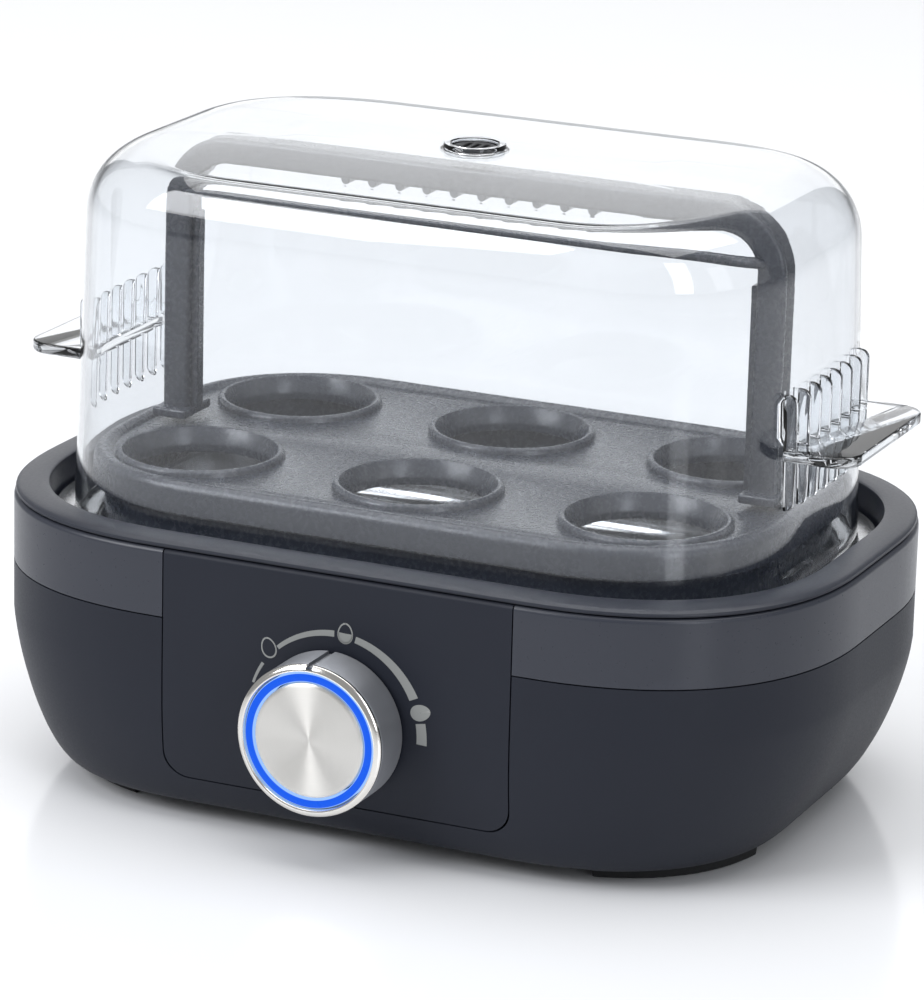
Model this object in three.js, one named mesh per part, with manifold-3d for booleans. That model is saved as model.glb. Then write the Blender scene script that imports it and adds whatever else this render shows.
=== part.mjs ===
// Electric egg cooker for six eggs: a low oval base with a steel water bowl and a turn-and-push control,
// a lift-out egg rack with a carrying handle, and a clear lid. Millimetres, +Z up, the control faces -Y.
import * as THREE from "three";
import { mergeVertices } from "three/addons/utils/BufferGeometryUtils.js";
import Module from "manifold-3d";

const wasm = await Module();
wasm.setup();

// ---------------------------------------------------------------- driving dimensions
const GAP = 0.3; // clearance between neighbouring pieces
const CORNER_STEPS = 6; // facets in each corner of an outline
const SQUARENESS = 2.3; // 2 is a true arc, more is a squarer corner
const LEAST_CORNER = 3;
const KNOB_FACETS = 32;
const ROUND_FACETS = 20;
const FINE_FACETS = 8; // for pins, screws and wires

// Outlines seen from above: half length, half depth and corner radius.
const BODY = { a: 95.5, b: 65, r: 54 };
const FLANGE = { a: 87, b: 56.5, r: 46 };
const BOWL = { a: 77, b: 48, r: 37 };
const TRAY = { a: 79, b: 50, r: 39 };
const LID = { a: 82.5, b: 54, r: 43 };

// Base heights.
const WALL = 2.2;
const FOOT_HEIGHT = 3;
const SKIN_LOW = 3.3;
const TAPER_TOP = 35;
const SKIN_TOP = 46;
const BAND_LOW = SKIN_TOP + GAP;
const BAND_TOP = 61.1;
const RIM_TOP = 63.1;
const LEDGE = 54.6;
const FLANGE_LOW = 56.4;
const FLANGE_TOP = 57.2;
const BOWL_FLOOR = 43;
const SHEET = 0.8; // steel sheet
const END_TAPER = 14.4;
const END_TAPER_POWER = 1.34;
const FRONT_TAPER = 9;
const FRONT_TAPER_POWER = 2.66;

// Front panel and control, all on one axis through the panel.
const PANEL_HALF = 39.8;
const PANEL_LOW = 11;
const CONTROL_Z = 29;
const FACE_Y = -BODY.b; // outer face of the panel
const KNOB_R = 16.4;
const KNOB_FRONT = FACE_Y - 12;
const BUTTON_R = 12.4;
const BUTTON_TRAVEL = 1.2;

// Egg rack.
const TRAY_TOP = 71;
const SKIRT_LOW = 64;
const SEAT_R = 17;
const SEAT_PITCH = 52;
const SEAT_Y = 24.5;
const HANDLE_HALF = 72.6;
const HANDLE_TOP = 134.3;
const HANDLE_BEND = 15;
const BAR_HEIGHT = 5.2;
const POST_WIDTH = 6.3;
const BAR_DEPTH = 6.8;
const RAIL_Z = 124;
const RAIL_R = 1.25;
const RAIL_REACH = 11;

// Lid.
const LID_WALL = 2;
const LID_LOW = FLANGE_TOP + GAP;
const SHOULDER_Z = 122.5;
const SHOULDER_R = 15.6;
const FRONT_SHOULDER_R = 8; // the shoulder's depth at the front and back
const CROWN_FALL = 1.8; // how much lower the crown lies at its front and back edges
const CROWN_HALF = 46;
const LID_TOP = 138.9;
const LID_DRAFT_X = 1.8;
const LID_DRAFT_Y = 3;
const TAB_TIP = 96.5;
const TAB_HALF = 23.3;
const TAB_LOW = 86.7;
const TAB_TOP = 89.1;
const FIN_COUNT = 8;
const FIN_PITCH = 6.1;
const FIN_LOW = 75.8;
const FIN_TOP = 100.6;
const FIN_WIDTH = 1.5;
const FIN_REACH = 2.4;
const FIN_ROUND = 2;
const FIN_ROOT = 1.5; // how far a fin is let into the wall
const VENT_R = 5.1;
const VENT_COLLAR_R = 6.7;
const VENT_TOP = 140;

const GLAND_REACH = 3;
// The origin lies under the middle of the whole object, so the knob and the gland share the shift.
const SHIFT_Y = (-KNOB_FRONT - BODY.b - GLAND_REACH) / 2;

// ---------------------------------------------------------------- finishes
const finish = (color, roughness, metalness, extra = {}) =>
  new THREE.MeshStandardMaterial({ color, roughness, metalness, ...extra });
const ANTHRACITE = finish("#2f3138", 0.55, 0);
const SATIN_BAND = finish("#45484f", 0.3, 0);
const RIM_GREY = finish("#4c4f55", 0.4, 0);
const BLACK_PLASTIC = finish("#1c1d20", 0.6, 0);
const HANDLE_GREY = finish("#3a3d43", 0.35, 0);
const RUBBER = finish("#141416", 0.85, 0);
const SILICONE = finish("#8a8c8e", 0.7, 0);
const STEEL = finish("#c9cbcc", 0.25, 1);
const BRUSHED = finish("#d4d2cd", 0.35, 1);
const ALUMINIUM = finish("#b7babd", 0.45, 1);
const BRASS = finish("#b99a55", 0.4, 1);
const CERAMIC = finish("#e9e4d8", 0.6, 0);
const CLEAR = finish("#eef2f4", 0.05, 0, { transparent: true, opacity: 0.25 });
const BLUE_LIGHT = finish("#0a5be0", 0.3, 0);
const BOARD_GREEN = finish("#1f5a3a", 0.5, 0);
const RELAY_BLUE = finish("#23489a", 0.45, 0);
const WIRE_WHITE = finish("#d9d6cc", 0.6, 0);

// ---------------------------------------------------------------- solids
function solidOf(geometry) {
  const bare = geometry.index ? geometry.toNonIndexed() : geometry.clone();
  bare.deleteAttribute("normal");
  bare.deleteAttribute("uv");
  const merged = mergeVertices(bare, 1e-4);
  const vertProperties = merged.attributes.position.array;
  const triVerts = new Uint32Array(merged.index.array);
  return new wasm.Manifold(new wasm.Mesh({ numProp: 3, vertProperties, triVerts }));
}

function geometryOf(solid) {
  const mesh = solid.getMesh();
  const geometry = new THREE.BufferGeometry();
  geometry.setAttribute("position", new THREE.BufferAttribute(mesh.vertProperties, 3));
  geometry.setIndex(new THREE.BufferAttribute(mesh.triVerts, 1));
  geometry.computeVertexNormals();
  return geometry;
}

const cut = (body, ...tools) =>
  geometryOf(tools.reduce((solid, tool) => solid.subtract(solidOf(tool)), solidOf(body)));
const join = (body, ...others) =>
  geometryOf(others.reduce((solid, other) => solid.add(solidOf(other)), solidOf(body)));
const common = (body, other) => geometryOf(solidOf(body).intersect(solidOf(other)));

// A rounded rectangle as one level ring of points, counter-clockwise from above.
function ring(base, z, inset, insetDepth = inset) {
  const halfX = base.a - inset;
  const halfY = base.b - insetDepth;
  const radius = Math.max(base.r - (inset + insetDepth) / 2, LEAST_CORNER);
  const points = [];
  for (let quarter = 0; quarter < 4; quarter += 1) {
    const signX = quarter === 0 || quarter === 3 ? 1 : -1;
    const signY = quarter < 2 ? 1 : -1;
    for (let step = 0; step <= CORNER_STEPS; step += 1) {
      const turn = (step / CORNER_STEPS) * (Math.PI / 2);
      const angle = quarter % 2 === 0 ? turn : Math.PI / 2 - turn;
      const x = halfX - radius + radius * Math.cos(angle) ** (2 / SQUARENESS);
      const y = halfY - radius + radius * Math.sin(angle) ** (2 / SQUARENESS);
      points.push([signX * x, signY * y, z]);
    }
  }
  return points;
}

// Skins a stack of rings: an outer face runs upwards, an inner face downwards.
// A closed stack joins its last ring to its first, and any other is capped at both ends.
function loft(rings, closed = false) {
  const count = rings[0].length;
  const positions = rings.flat(2);
  const faces = [];
  const strips = closed ? rings.length : rings.length - 1;
  for (let level = 0; level < strips; level += 1) {
    const low = level * count;
    const high = ((level + 1) % rings.length) * count;
    for (let i = 0; i < count; i += 1) {
      const next = (i + 1) % count;
      faces.push(low + i, low + next, high + next, low + i, high + next, high + i);
    }
  }
  if (!closed) {
    const last = (rings.length - 1) * count;
    const middle = positions.length / 3;
    positions.push(0, 0, rings[0][0][2], 0, 0, rings.at(-1)[0][2]);
    for (let i = 0; i < count; i += 1) {
      const next = (i + 1) % count;
      faces.push(middle, next, i, middle + 1, last + i, last + next);
    }
  }
  const geometry = new THREE.BufferGeometry();
  geometry.setAttribute("position", new THREE.Float32BufferAttribute(positions, 3));
  geometry.setIndex(faces);
  geometry.computeVertexNormals();
  return geometry;
}

const slab = (base, low, high, inset = 0) => loft([ring(base, low, inset), ring(base, high, inset)]);

function box([x0, y0, z0], [x1, y1, z1]) {
  const geometry = new THREE.BoxGeometry(x1 - x0, y1 - y0, z1 - z0);
  return geometry.translate((x0 + x1) / 2, (y0 + y1) / 2, (z0 + z1) / 2);
}

// Turned pieces: a profile of [radius, height], outer side first and upwards.
const turned = (profile, facets = ROUND_FACETS) =>
  new THREE.LatheGeometry(profile.map(([r, h]) => new THREE.Vector2(r, h)), facets);
const upright = (geometry) => geometry.rotateX(Math.PI / 2);
const tube = (inner, outer, low, high, facets = ROUND_FACETS) =>
  turned([[outer, low], [outer, high], [inner, high], [inner, low], [outer, low]], facets);
const rod = (radius, low, high, facets = ROUND_FACETS) =>
  turned([[0, low], [radius, low], [radius, high], [0, high]], facets);
const post = (radius, x, y, low, high, facets = FINE_FACETS) =>
  upright(rod(radius, low, high, facets)).translate(x, y, 0);
// A piece turned about the control axis, which runs along Y.
const onControl = (geometry, x = 0) => geometry.translate(x, 0, CONTROL_Z);

function wireAlong(points, radius, steps, sides = 8) {
  const section = new THREE.Shape();
  for (let i = 0; i < sides; i += 1) {
    const angle = (i / sides) * 2 * Math.PI;
    const move = i === 0 ? "moveTo" : "lineTo";
    section[move](radius * Math.cos(angle), radius * Math.sin(angle));
  }
  const path = new THREE.CatmullRomCurve3(points.map((p) => new THREE.Vector3(...p)));
  return new THREE.ExtrudeGeometry(section, { steps, extrudePath: path, curveSegments: 1 });
}

// ---------------------------------------------------------------- base: skin and frame
const TAPER_LEVELS = [SKIN_LOW, 4.5, 7, 11.5, 18, 26, TAPER_TOP];

// How far the skin has drawn in at a height: a quarter of a superellipse down to the lower edge.
function taper(z, most, power) {
  const down = Math.min(1, Math.max(0, (TAPER_TOP - z) / (TAPER_TOP - SKIN_LOW)));
  return most * (1 - (1 - down ** power) ** (1 / power));
}

function skinRing(z, inset) {
  const endInset = taper(z, END_TAPER, END_TAPER_POWER);
  const frontInset = taper(z, FRONT_TAPER, FRONT_TAPER_POWER);
  return ring(BODY, z, inset + endInset, inset + frontInset);
}

function skin(low, high) {
  const levels = [low, ...TAPER_LEVELS.filter((z) => z > low && z < high), high];
  const outer = levels.map((z) => skinRing(z, 0));
  const inner = levels.map((z) => skinRing(z, WALL)).reverse();
  return loft([...outer, ...inner], true);
}

// The room that the front panel takes out of the skin, grown by a margin.
function panelSlot(margin) {
  const half = PANEL_HALF + margin;
  return box([-half, -2 * BODY.b, PANEL_LOW - margin], [half, -BODY.b / 2, 2 * RIM_TOP]);
}

const GLAND_Z = 19;
const GLAND_R = 6;

function baseHousing() {
  const glandHole = rod(GLAND_R + GAP, BODY.b / 2, 2 * BODY.b).translate(0, 0, GLAND_Z);
  return cut(skin(SKIN_LOW, SKIN_TOP), panelSlot(GAP), glandHole);
}
const trimBand = () => cut(skin(BAND_LOW, BAND_TOP), panelSlot(GAP));

const BUSHING_R = 4.4;
const LED_R = 2.5;
const LED_X = 10.6;

function frontPanel() {
  const holes = [rod(BUSHING_R + GAP, FACE_Y - 5, FACE_Y + 10), rod(LED_R + GAP, FACE_Y - 5, FACE_Y + 10)];
  const [middle, side] = holes.map((hole) => onControl(hole));
  const left = side.clone().translate(-LED_X, 0, 0);
  const right = side.clone().translate(LED_X, 0, 0);
  return cut(common(skin(SKIN_LOW, BAND_TOP), panelSlot(0)), middle, left, right);
}

const BOSS_X = 50;
const BOSS_Y = 50.4;
const BOSS_R = 2.7;
const BOSS_LOW = 7.5;
const BOSS_TOP = 53;
const SCREW_R = 1.3;
const SCREW_HEAD_R = 2.4;
const SCREW_HEAD_LOW = 3.9;
const SCREW_HEAD_TOP = 5.1;
const SCREW_TIP = 17;
const BORE_TOP = 20;
const corners = [[1, 1], [-1, 1], [-1, -1], [1, -1]];

// Rim, well wall, bowl ledge and the skirt behind the band, as [inset, height], with four screw bosses.
function upperFrame() {
  const profile = [
    [2.8, 47], [2.8, 61.2], [0.3, BAND_TOP + GAP], [0.5, 62.3], [1.5, 62.9], [3, RIM_TOP],
    [6.8, RIM_TOP], [7.4, 62.6], [7.9, LEDGE], [13.4, LEDGE], [13.4, 52.6], [5.2, 52.6], [5.2, 47],
  ];
  const frame = loft(profile.map(([inset, z]) => ring(BODY, z, inset)), true);
  const bosses = corners.map(([x, y]) => post(BOSS_R, x * BOSS_X, y * BOSS_Y, BOSS_LOW, BOSS_TOP));
  const bores = corners.map(([x, y]) => post(SCREW_R + GAP, x * BOSS_X, y * BOSS_Y, 0, BORE_TOP));
  return cut(join(frame, ...bosses), ...bores);
}

const PLATE_LOW = 5.4;
const PLATE_TOP = 7.2;
const PILLAR_X = 54;
const PILLAR_Y = 20;
const PILLAR_R = 2.5;
const SHIELD_Z = 29.6;

function basePlate() {
  const edge = skinRing(PLATE_LOW, WALL + GAP);
  const plate = loft([edge, edge.map(([x, y]) => [x, y, PLATE_TOP])]);
  const [foot, head] = [PLATE_LOW + GAP, SHIELD_Z - GAP];
  const pillars = corners.map(([x, y]) => post(PILLAR_R, x * PILLAR_X, y * PILLAR_Y, foot, head));
  const bores = corners.map(([x, y]) => post(SCREW_R + GAP, x * BOSS_X, y * BOSS_Y, 0, BORE_TOP));
  return cut(join(plate, ...pillars), ...bores);
}

const FOOT_OUT = 15.2;
const FOOT_IN = 25;
const FOOT_X = 45;
const FOOT_Y = 24;
const FOOT_HOLLOW_R = 3.6;

// One corner foot: a stretch of a low ring that follows the body's corner.
function foot(signX, signY) {
  const top = FOOT_HEIGHT;
  const band = loft([
    ring(BODY, 0, FOOT_OUT + 1, FOOT_OUT - 2), ring(BODY, top, FOOT_OUT, FOOT_OUT - 3),
    ring(BODY, top, FOOT_IN, FOOT_IN - 3), ring(BODY, 0, FOOT_IN, FOOT_IN - 3),
  ], true);
  const [x0, x1] = [signX * FOOT_X, signX * BODY.a].sort((p, q) => p - q);
  const [y0, y1] = [signY * FOOT_Y, signY * BODY.b].sort((p, q) => p - q);
  const hollow = post(FOOT_HOLLOW_R, signX * BOSS_X, signY * BOSS_Y, -1, top + 1, ROUND_FACETS);
  return cut(common(band, box([x0, y0, -1], [x1, y1, top + 1])), hollow);
}

function baseScrew(signX, signY) {
  const profile = [
    [0, SCREW_HEAD_LOW], [SCREW_HEAD_R, SCREW_HEAD_LOW], [SCREW_HEAD_R, SCREW_HEAD_TOP],
    [SCREW_R, SCREW_HEAD_TOP], [SCREW_R, SCREW_TIP], [0, SCREW_TIP],
  ];
  return upright(turned(profile, FINE_FACETS)).translate(signX * BOSS_X, signY * BOSS_Y, 0);
}

const CORD_HOLE_R = 3.4;

// A bush through the rear wall, with a tapered collar outside it.
function cordGland() {
  const inside = BODY.b - WALL - 1.5;
  const collar = BODY.b + 0.4;
  const outside = BODY.b + GLAND_REACH;
  return turned([
    [GLAND_R, inside], [GLAND_R, collar], [GLAND_R + 1.2, collar], [GLAND_R - 0.6, outside],
    [CORD_HOLE_R, outside], [CORD_HOLE_R, inside], [GLAND_R, inside],
  ]).translate(0, 0, GLAND_Z);
}

// ---------------------------------------------------------------- base: water bowl and heating
function waterBowl() {
  const outside = [[7, 0], [3.2, 0.7], [1.2, 3], [0, 11.6], [-0.8, 13.2]];
  const inside = [[0, 13.4], [0.8, 11.8], [2, 3.2], [3.8, 0.8], [7, 0]];
  const under = BOWL_FLOOR - SHEET;
  return loft([
    ...outside.map(([inset, rise]) => ring(BOWL, under + rise, inset)),
    ring(BOWL, FLANGE_LOW, -1.6), ring(FLANGE, FLANGE_LOW, 0), ring(FLANGE, FLANGE_TOP, 0),
    ring(BOWL, FLANGE_TOP, -1.2),
    ...inside.map(([inset, rise]) => ring(BOWL, BOWL_FLOOR + rise, inset)),
  ]);
}

function bowlGasket() {
  const [low, high] = [LEDGE + GAP, FLANGE_LOW - GAP];
  const [outer, inner] = [9.6, 12.6];
  return loft([
    ring(BODY, low, outer), ring(BODY, high, outer), ring(BODY, high, inner), ring(BODY, low, inner),
  ], true);
}

const SPREADER = { a: 58, b: 33, r: 22 };
const SPREADER_LOW = 40;
const SPREADER_TOP = BOWL_FLOOR - SHEET - GAP;
const ELEMENT_R = 3.2;
const ELEMENT_Z = SPREADER_LOW - GAP - ELEMENT_R;
const ELEMENT_END = 12;
const ELEMENT_Y = -27;

const elementRoute = [
  [ELEMENT_END, ELEMENT_Y], [28, -26], [43, -17], [47, 0], [40, 19], [20, 26],
  [-20, 26], [-40, 19], [-47, 0], [-43, -17], [-28, -26], [-ELEMENT_END, ELEMENT_Y],
].map(([x, y]) => [x, y, ELEMENT_Z]);

const TERMINAL_R = 1.5;
const TERMINAL_LENGTH = 7;
const terminal = (side) =>
  rod(TERMINAL_R, 0, TERMINAL_LENGTH, FINE_FACETS)
    .rotateZ((side * Math.PI) / 2)
    .translate(side * (ELEMENT_END - GAP), ELEMENT_Y, ELEMENT_Z);

// ---------------------------------------------------------------- base: control electronics
const BOARD_BACK = FACE_Y + 16.2;
const BOARD_FRONT = BOARD_BACK - 1.6;
const BOARD_HALF = 36;
const BOARD_LOW = 9;
const BOARD_TOP = 38;
const CONTROL_FRONT = FACE_Y + 5.5;
const CONTROL_BACK = FACE_Y + 11;
const SHAFT_R = 3;
const STEM_R = 1.4;
const HUB_FRONT = KNOB_FRONT + 4;
const SWITCH_FRONT = BOARD_FRONT - 2.8;

const BOARD_SCREW_X = BOARD_HALF - 4;
const BOARD_SCREW_Z = BOARD_LOW + 4;
const BOARD_SCREW_HEAD_R = 2.6;

function controlBoard() {
  const board = box([-BOARD_HALF, BOARD_FRONT, BOARD_LOW], [BOARD_HALF, BOARD_BACK, BOARD_TOP]);
  const hole = rod(SCREW_R + GAP, BOARD_FRONT - 5, BOARD_BACK + 5, FINE_FACETS);
  const holes = [-1, 1].map((side) => hole.clone().translate(side * BOARD_SCREW_X, 0, BOARD_SCREW_Z));
  return cut(board, ...holes);
}

function boardScrew(side) {
  const [tip, seat, head] = [BOARD_FRONT - 6, BOARD_BACK + GAP, BOARD_BACK + 2];
  const profile = [
    [0, tip], [SCREW_R, tip], [SCREW_R, seat],
    [BOARD_SCREW_HEAD_R, seat], [BOARD_SCREW_HEAD_R, head], [0, head],
  ];
  return turned(profile, FINE_FACETS).translate(side * BOARD_SCREW_X, 0, BOARD_SCREW_Z);
}

const CONTROL_HALF = 8.5;
const NUT_R = 7;

function rotaryControl() {
  const low = [-CONTROL_HALF, CONTROL_FRONT, CONTROL_Z - CONTROL_HALF];
  const high = [CONTROL_HALF, CONTROL_BACK, CONTROL_Z + CONTROL_HALF];
  return cut(box(low, high), onControl(rod(SHAFT_R + GAP, CONTROL_FRONT - 5, CONTROL_BACK + 5)));
}

const bushing = () => onControl(tube(SHAFT_R + GAP, BUSHING_R, FACE_Y - 3, CONTROL_FRONT - GAP));
const bushingNut = () =>
  onControl(cut(rod(NUT_R, FACE_Y - 2.6, FACE_Y - GAP, 6), rod(BUSHING_R + GAP, FACE_Y - 9, FACE_Y + 9)));

const LEG_R = 0.35;
const LEG_X = 1.27;

// A domed light with its two legs running back to the board.
function led(side) {
  const back = FACE_Y + 4;
  const dome = [[0, FACE_Y - 3.6], [1.4, FACE_Y - 3.2], [2.3, FACE_Y - 1.8], [LED_R, FACE_Y - 0.5]];
  const lamp = turned([...dome, [LED_R, back], [0, back]], FINE_FACETS);
  const leg = rod(LEG_R, back - 1, BOARD_FRONT - GAP, 6);
  const legs = [-1, 1].map((way) => leg.clone().translate(way * LEG_X, 0, 0));
  return onControl(join(lamp, ...legs), side * LED_X);
}

// Parts soldered to the back of the board: their middle, and how far they stand off it.
const onBoard = ({ x, z, width, height, depth }) => {
  const face = BOARD_BACK + GAP;
  return box([x - width / 2, face, z - height / 2], [x + width / 2, face + depth, z + height / 2]);
};
const canOnBoard = ({ x, z, radius, depth }, facets = ROUND_FACETS) =>
  rod(radius, BOARD_BACK + GAP, BOARD_BACK + GAP + depth, facets).translate(x, 0, z);

const RELAY = { x: 19.5, z: 18, width: 17, height: 15, depth: 15 };
const TRANSFORMER = { x: 0, z: 18, width: 20, height: 12, depth: 13.5 };
const CAPACITOR = { x: -28, z: 28, radius: 5, depth: 12 };
const BUZZER = { x: 24, z: 31.5, radius: 6, depth: 7 };
const BLOCK = { x: -20.5, z: 15, width: 15, height: 9, depth: 9 };
const BLOCK_WAYS = [-1, 0, 1];
const BLOCK_PITCH = 5;
const SWITCH_HALF = 3;
const THERMOSTAT_R = 8;
const SENSOR_R = 3;

function terminalBlock() {
  const way = { z: BLOCK.z, radius: 1.6, depth: 2 * BLOCK.depth };
  const holes = BLOCK_WAYS.map((i) => canOnBoard({ ...way, x: BLOCK.x + BLOCK_PITCH * i }, FINE_FACETS));
  return cut(onBoard(BLOCK), ...holes.map((hole) => hole.translate(0, 4, 0)));
}

const leadWire = (side) => wireAlong([
  [side * 4, ELEMENT_Y, ELEMENT_Z], [side * 2.8, ELEMENT_Y - 0.4, ELEMENT_Z - 0.1],
  [side * 2.6, ELEMENT_Y - 4, ELEMENT_Z - 1.5], [side * 4, ELEMENT_Y - 10, ELEMENT_Z - 3],
  [side * 7, ELEMENT_Y - 16, ELEMENT_Z - 2.5],
  [side * 8, BOARD_BACK + GAP, ELEMENT_Z - 2.5],
], 0.9, 9, 6);

// ---------------------------------------------------------------- knob and button
function knobSleeve() {
  const back = FACE_Y - 0.8;
  const sleeve = tube(KNOB_R - 1.7, KNOB_R, KNOB_FRONT + 1.5, back, KNOB_FACETS);
  const groove = box([-0.7, KNOB_FRONT - 1, KNOB_R - 0.7], [0.7, back + 1, KNOB_R + 2]);
  return onControl(cut(sleeve, groove));
}

const knobBezel = () => onControl(turned([
  [KNOB_R, KNOB_FRONT + 1.2], [14.9, KNOB_FRONT + 1.2], [14.9, KNOB_FRONT + 0.2], [15.4, KNOB_FRONT],
  [KNOB_R - 0.4, KNOB_FRONT + 0.2], [KNOB_R, KNOB_FRONT + 0.7], [KNOB_R, KNOB_FRONT + 1.2],
], KNOB_FACETS));

const lightRing = () =>
  onControl(tube(BUTTON_R + GAP, 14.55, KNOB_FRONT + 0.5, HUB_FRONT + 1.2, KNOB_FACETS));

const HUB_R = 5.4;
const HUB_BACK = FACE_Y - 3.3;
const WEB_R = 14.4;

function knobHub() {
  const webFront = HUB_FRONT + 1.5;
  const webBack = webFront + 1.6;
  return onControl(turned([
    [WEB_R, webFront], [WEB_R, webBack], [HUB_R, webBack], [HUB_R, HUB_BACK], [SHAFT_R + GAP, HUB_BACK],
    [SHAFT_R + GAP, HUB_FRONT], [HUB_R, HUB_FRONT], [HUB_R, webFront], [WEB_R, webFront],
  ]));
}

const knobShaft = () => onControl(tube(STEM_R + 0.4, SHAFT_R, HUB_FRONT, CONTROL_BACK - 2));

// The button's face stands 0.5 mm behind the bezel, and its stem runs through the hollow shaft.
const powerButton = () => onControl(turned([
  [0, KNOB_FRONT + 0.5], [BUTTON_R - 0.4, KNOB_FRONT + 0.5], [BUTTON_R, KNOB_FRONT + 0.9],
  [BUTTON_R, HUB_FRONT - BUTTON_TRAVEL - GAP], [STEM_R, HUB_FRONT - BUTTON_TRAVEL - GAP],
  [STEM_R, SWITCH_FRONT - BUTTON_TRAVEL - GAP], [0, SWITCH_FRONT - BUTTON_TRAVEL - GAP],
], KNOB_FACETS));

// ---------------------------------------------------------------- egg rack
const seatCentres = [-1, 0, 1].flatMap((column) =>
  [-1, 1].map((row) => [column * SEAT_PITCH, row * SEAT_Y]));
const SEAT_FACETS = 16;
const SEAT_WALL = 1.4;

function eggTray() {
  const floor = TRAY_TOP - 2;
  const pan = loft([
    ring(TRAY, LID_LOW, 2.6), ring(TRAY, SKIRT_LOW, 2.6), ring(TRAY, SKIRT_LOW, 0),
    ring(TRAY, TRAY_TOP - 1.6, 0.3), ring(TRAY, TRAY_TOP - 0.4, 1), ring(TRAY, TRAY_TOP, 2.4),
    ring(TRAY, floor + 1, 4.4),
  ]);
  const under = loft([ring(TRAY, LID_LOW - 1, 4.4), ring(TRAY, floor - 1.2, 4.4)]);
  const [collarLow, collarTop] = [floor - 3, TRAY_TOP + 0.4];
  const collar = upright(tube(SEAT_R - SEAT_WALL, SEAT_R + SEAT_WALL, collarLow, collarTop, SEAT_FACETS));
  const throat = SEAT_R - SEAT_WALL - 0.2;
  const bore = upright(turned([
    [0, floor - 8], [throat, floor - 8], [throat, floor - 1],
    [SEAT_R + 0.2, TRAY_TOP + 1], [0, TRAY_TOP + 1],
  ], SEAT_FACETS));
  const seats = seatCentres.map(([x, y]) => collar.clone().translate(x, y, 0));
  const bores = seatCentres.map(([x, y]) => bore.clone().translate(x, y, 0));
  return cut(join(cut(pan, under), ...seats), ...bores);
}

// The arch seen from the front, as one outline: outer edge over the top, then the inner edge back.
function archShape(low) {
  const outer = HANDLE_BEND;
  const inner = HANDLE_BEND - BAR_HEIGHT;
  const innerHalf = HANDLE_HALF - POST_WIDTH;
  const innerTop = HANDLE_TOP - BAR_HEIGHT;
  const shape = new THREE.Shape();
  shape.moveTo(HANDLE_HALF, low);
  shape.lineTo(HANDLE_HALF, HANDLE_TOP - outer);
  shape.absarc(HANDLE_HALF - outer, HANDLE_TOP - outer, outer, 0, Math.PI / 2, false);
  shape.absarc(-HANDLE_HALF + outer, HANDLE_TOP - outer, outer, Math.PI / 2, Math.PI, false);
  shape.lineTo(-HANDLE_HALF, low);
  shape.lineTo(-innerHalf, low);
  shape.absarc(-innerHalf + inner, innerTop - inner, inner, Math.PI, Math.PI / 2, true);
  shape.absarc(innerHalf - inner, innerTop - inner, inner, Math.PI / 2, 0, true);
  shape.lineTo(innerHalf, low);
  shape.closePath();
  return shape;
}

const GRIP_RIBS = 10;
const GRIP_PITCH = 6.4;
const GRIP_R = 1;
const PAD_X = 4.2;
const PAD_Y = 6.5;
const PAD_HEIGHT = 2;
const POST_X = HANDLE_HALF - POST_WIDTH / 2;

// The thin rail in front of the bar, from post to post.
function handleRail() {
  const reach = RAIL_R - RAIL_REACH;
  const half = [
    [POST_X, 0, RAIL_Z - 2], [POST_X - 5, reach * 0.55, RAIL_Z - 1], [POST_X - 14, reach * 0.9, RAIL_Z],
    [POST_X / 2, reach, RAIL_Z],
  ];
  const otherHalf = half.map(([x, y, z]) => [-x, y, z]).reverse();
  return wireAlong([...half, [0, reach, RAIL_Z], ...otherHalf], RAIL_R, 20);
}

function carryHandle() {
  const low = TRAY_TOP + GAP;
  const flat = new THREE.ExtrudeGeometry(archShape(low), {
    depth: BAR_DEPTH, bevelEnabled: false, curveSegments: 8,
  });
  const arch = flat.rotateX(Math.PI / 2).translate(0, BAR_DEPTH / 2, 0);
  const rib = rod(GRIP_R, -BAR_DEPTH / 2 + 0.4, BAR_DEPTH / 2 - 0.4, 8);
  const ribs = Array.from({ length: GRIP_RIBS }, (_, i) =>
    rib.clone().translate((i - (GRIP_RIBS - 1) / 2) * GRIP_PITCH, 0, HANDLE_TOP - BAR_HEIGHT));
  const pads = [-POST_X, POST_X].map((x) =>
    box([x - PAD_X, -PAD_Y, low], [x + PAD_X, PAD_Y, low + PAD_HEIGHT]));
  return join(arch, handleRail(), ...ribs, ...pads);
}

// ---------------------------------------------------------------- lid
const FILLET_STEPS = 4;

// Bows the crown, so that it falls away to the front and back.
function bowed(points) {
  return points.map(([x, y, z]) => {
    const share = Math.max(0, (z - SHOULDER_Z) / SHOULDER_R);
    return [x, y, z - CROWN_FALL * share * (y / CROWN_HALF) ** 2];
  });
}

// Rings of the lid's skin from its lower edge to its crown, drawn in by the wall for the inner face.
function lidRings(wall) {
  const rings = [ring(LID, wall ? LID_LOW - 1 : LID_LOW, wall), ring(LID, LID_LOW + 4, wall)];
  for (let step = 0; step <= FILLET_STEPS; step += 1) {
    const angle = (step / FILLET_STEPS) * (Math.PI / 2);
    const inset = SHOULDER_R * (1 - Math.cos(angle)) + wall * Math.cos(angle);
    const frontInset = FRONT_SHOULDER_R * (1 - Math.cos(angle)) + wall * Math.cos(angle);
    const z = SHOULDER_Z + (SHOULDER_R - wall) * Math.sin(angle);
    rings.push(ring(LID, z, LID_DRAFT_X + inset, LID_DRAFT_Y + frontInset));
  }
  rings.push(ring(LID, LID_TOP - wall - 0.2, 34, 28));
  rings.push(ring(LID, LID_TOP - wall, 44));
  return rings.map(bowed);
}

// Where the lid's outer wall stands, seen from above, at a distance across from the middle.
function lidWallX(y) {
  const { a, b, r } = LID;
  const across = Math.max(0, Math.abs(y) - (b - r)) / r;
  return a - r + r * (1 - across ** SQUARENESS) ** (1 / SQUARENESS) - LID_DRAFT_X / 2;
}

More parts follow.
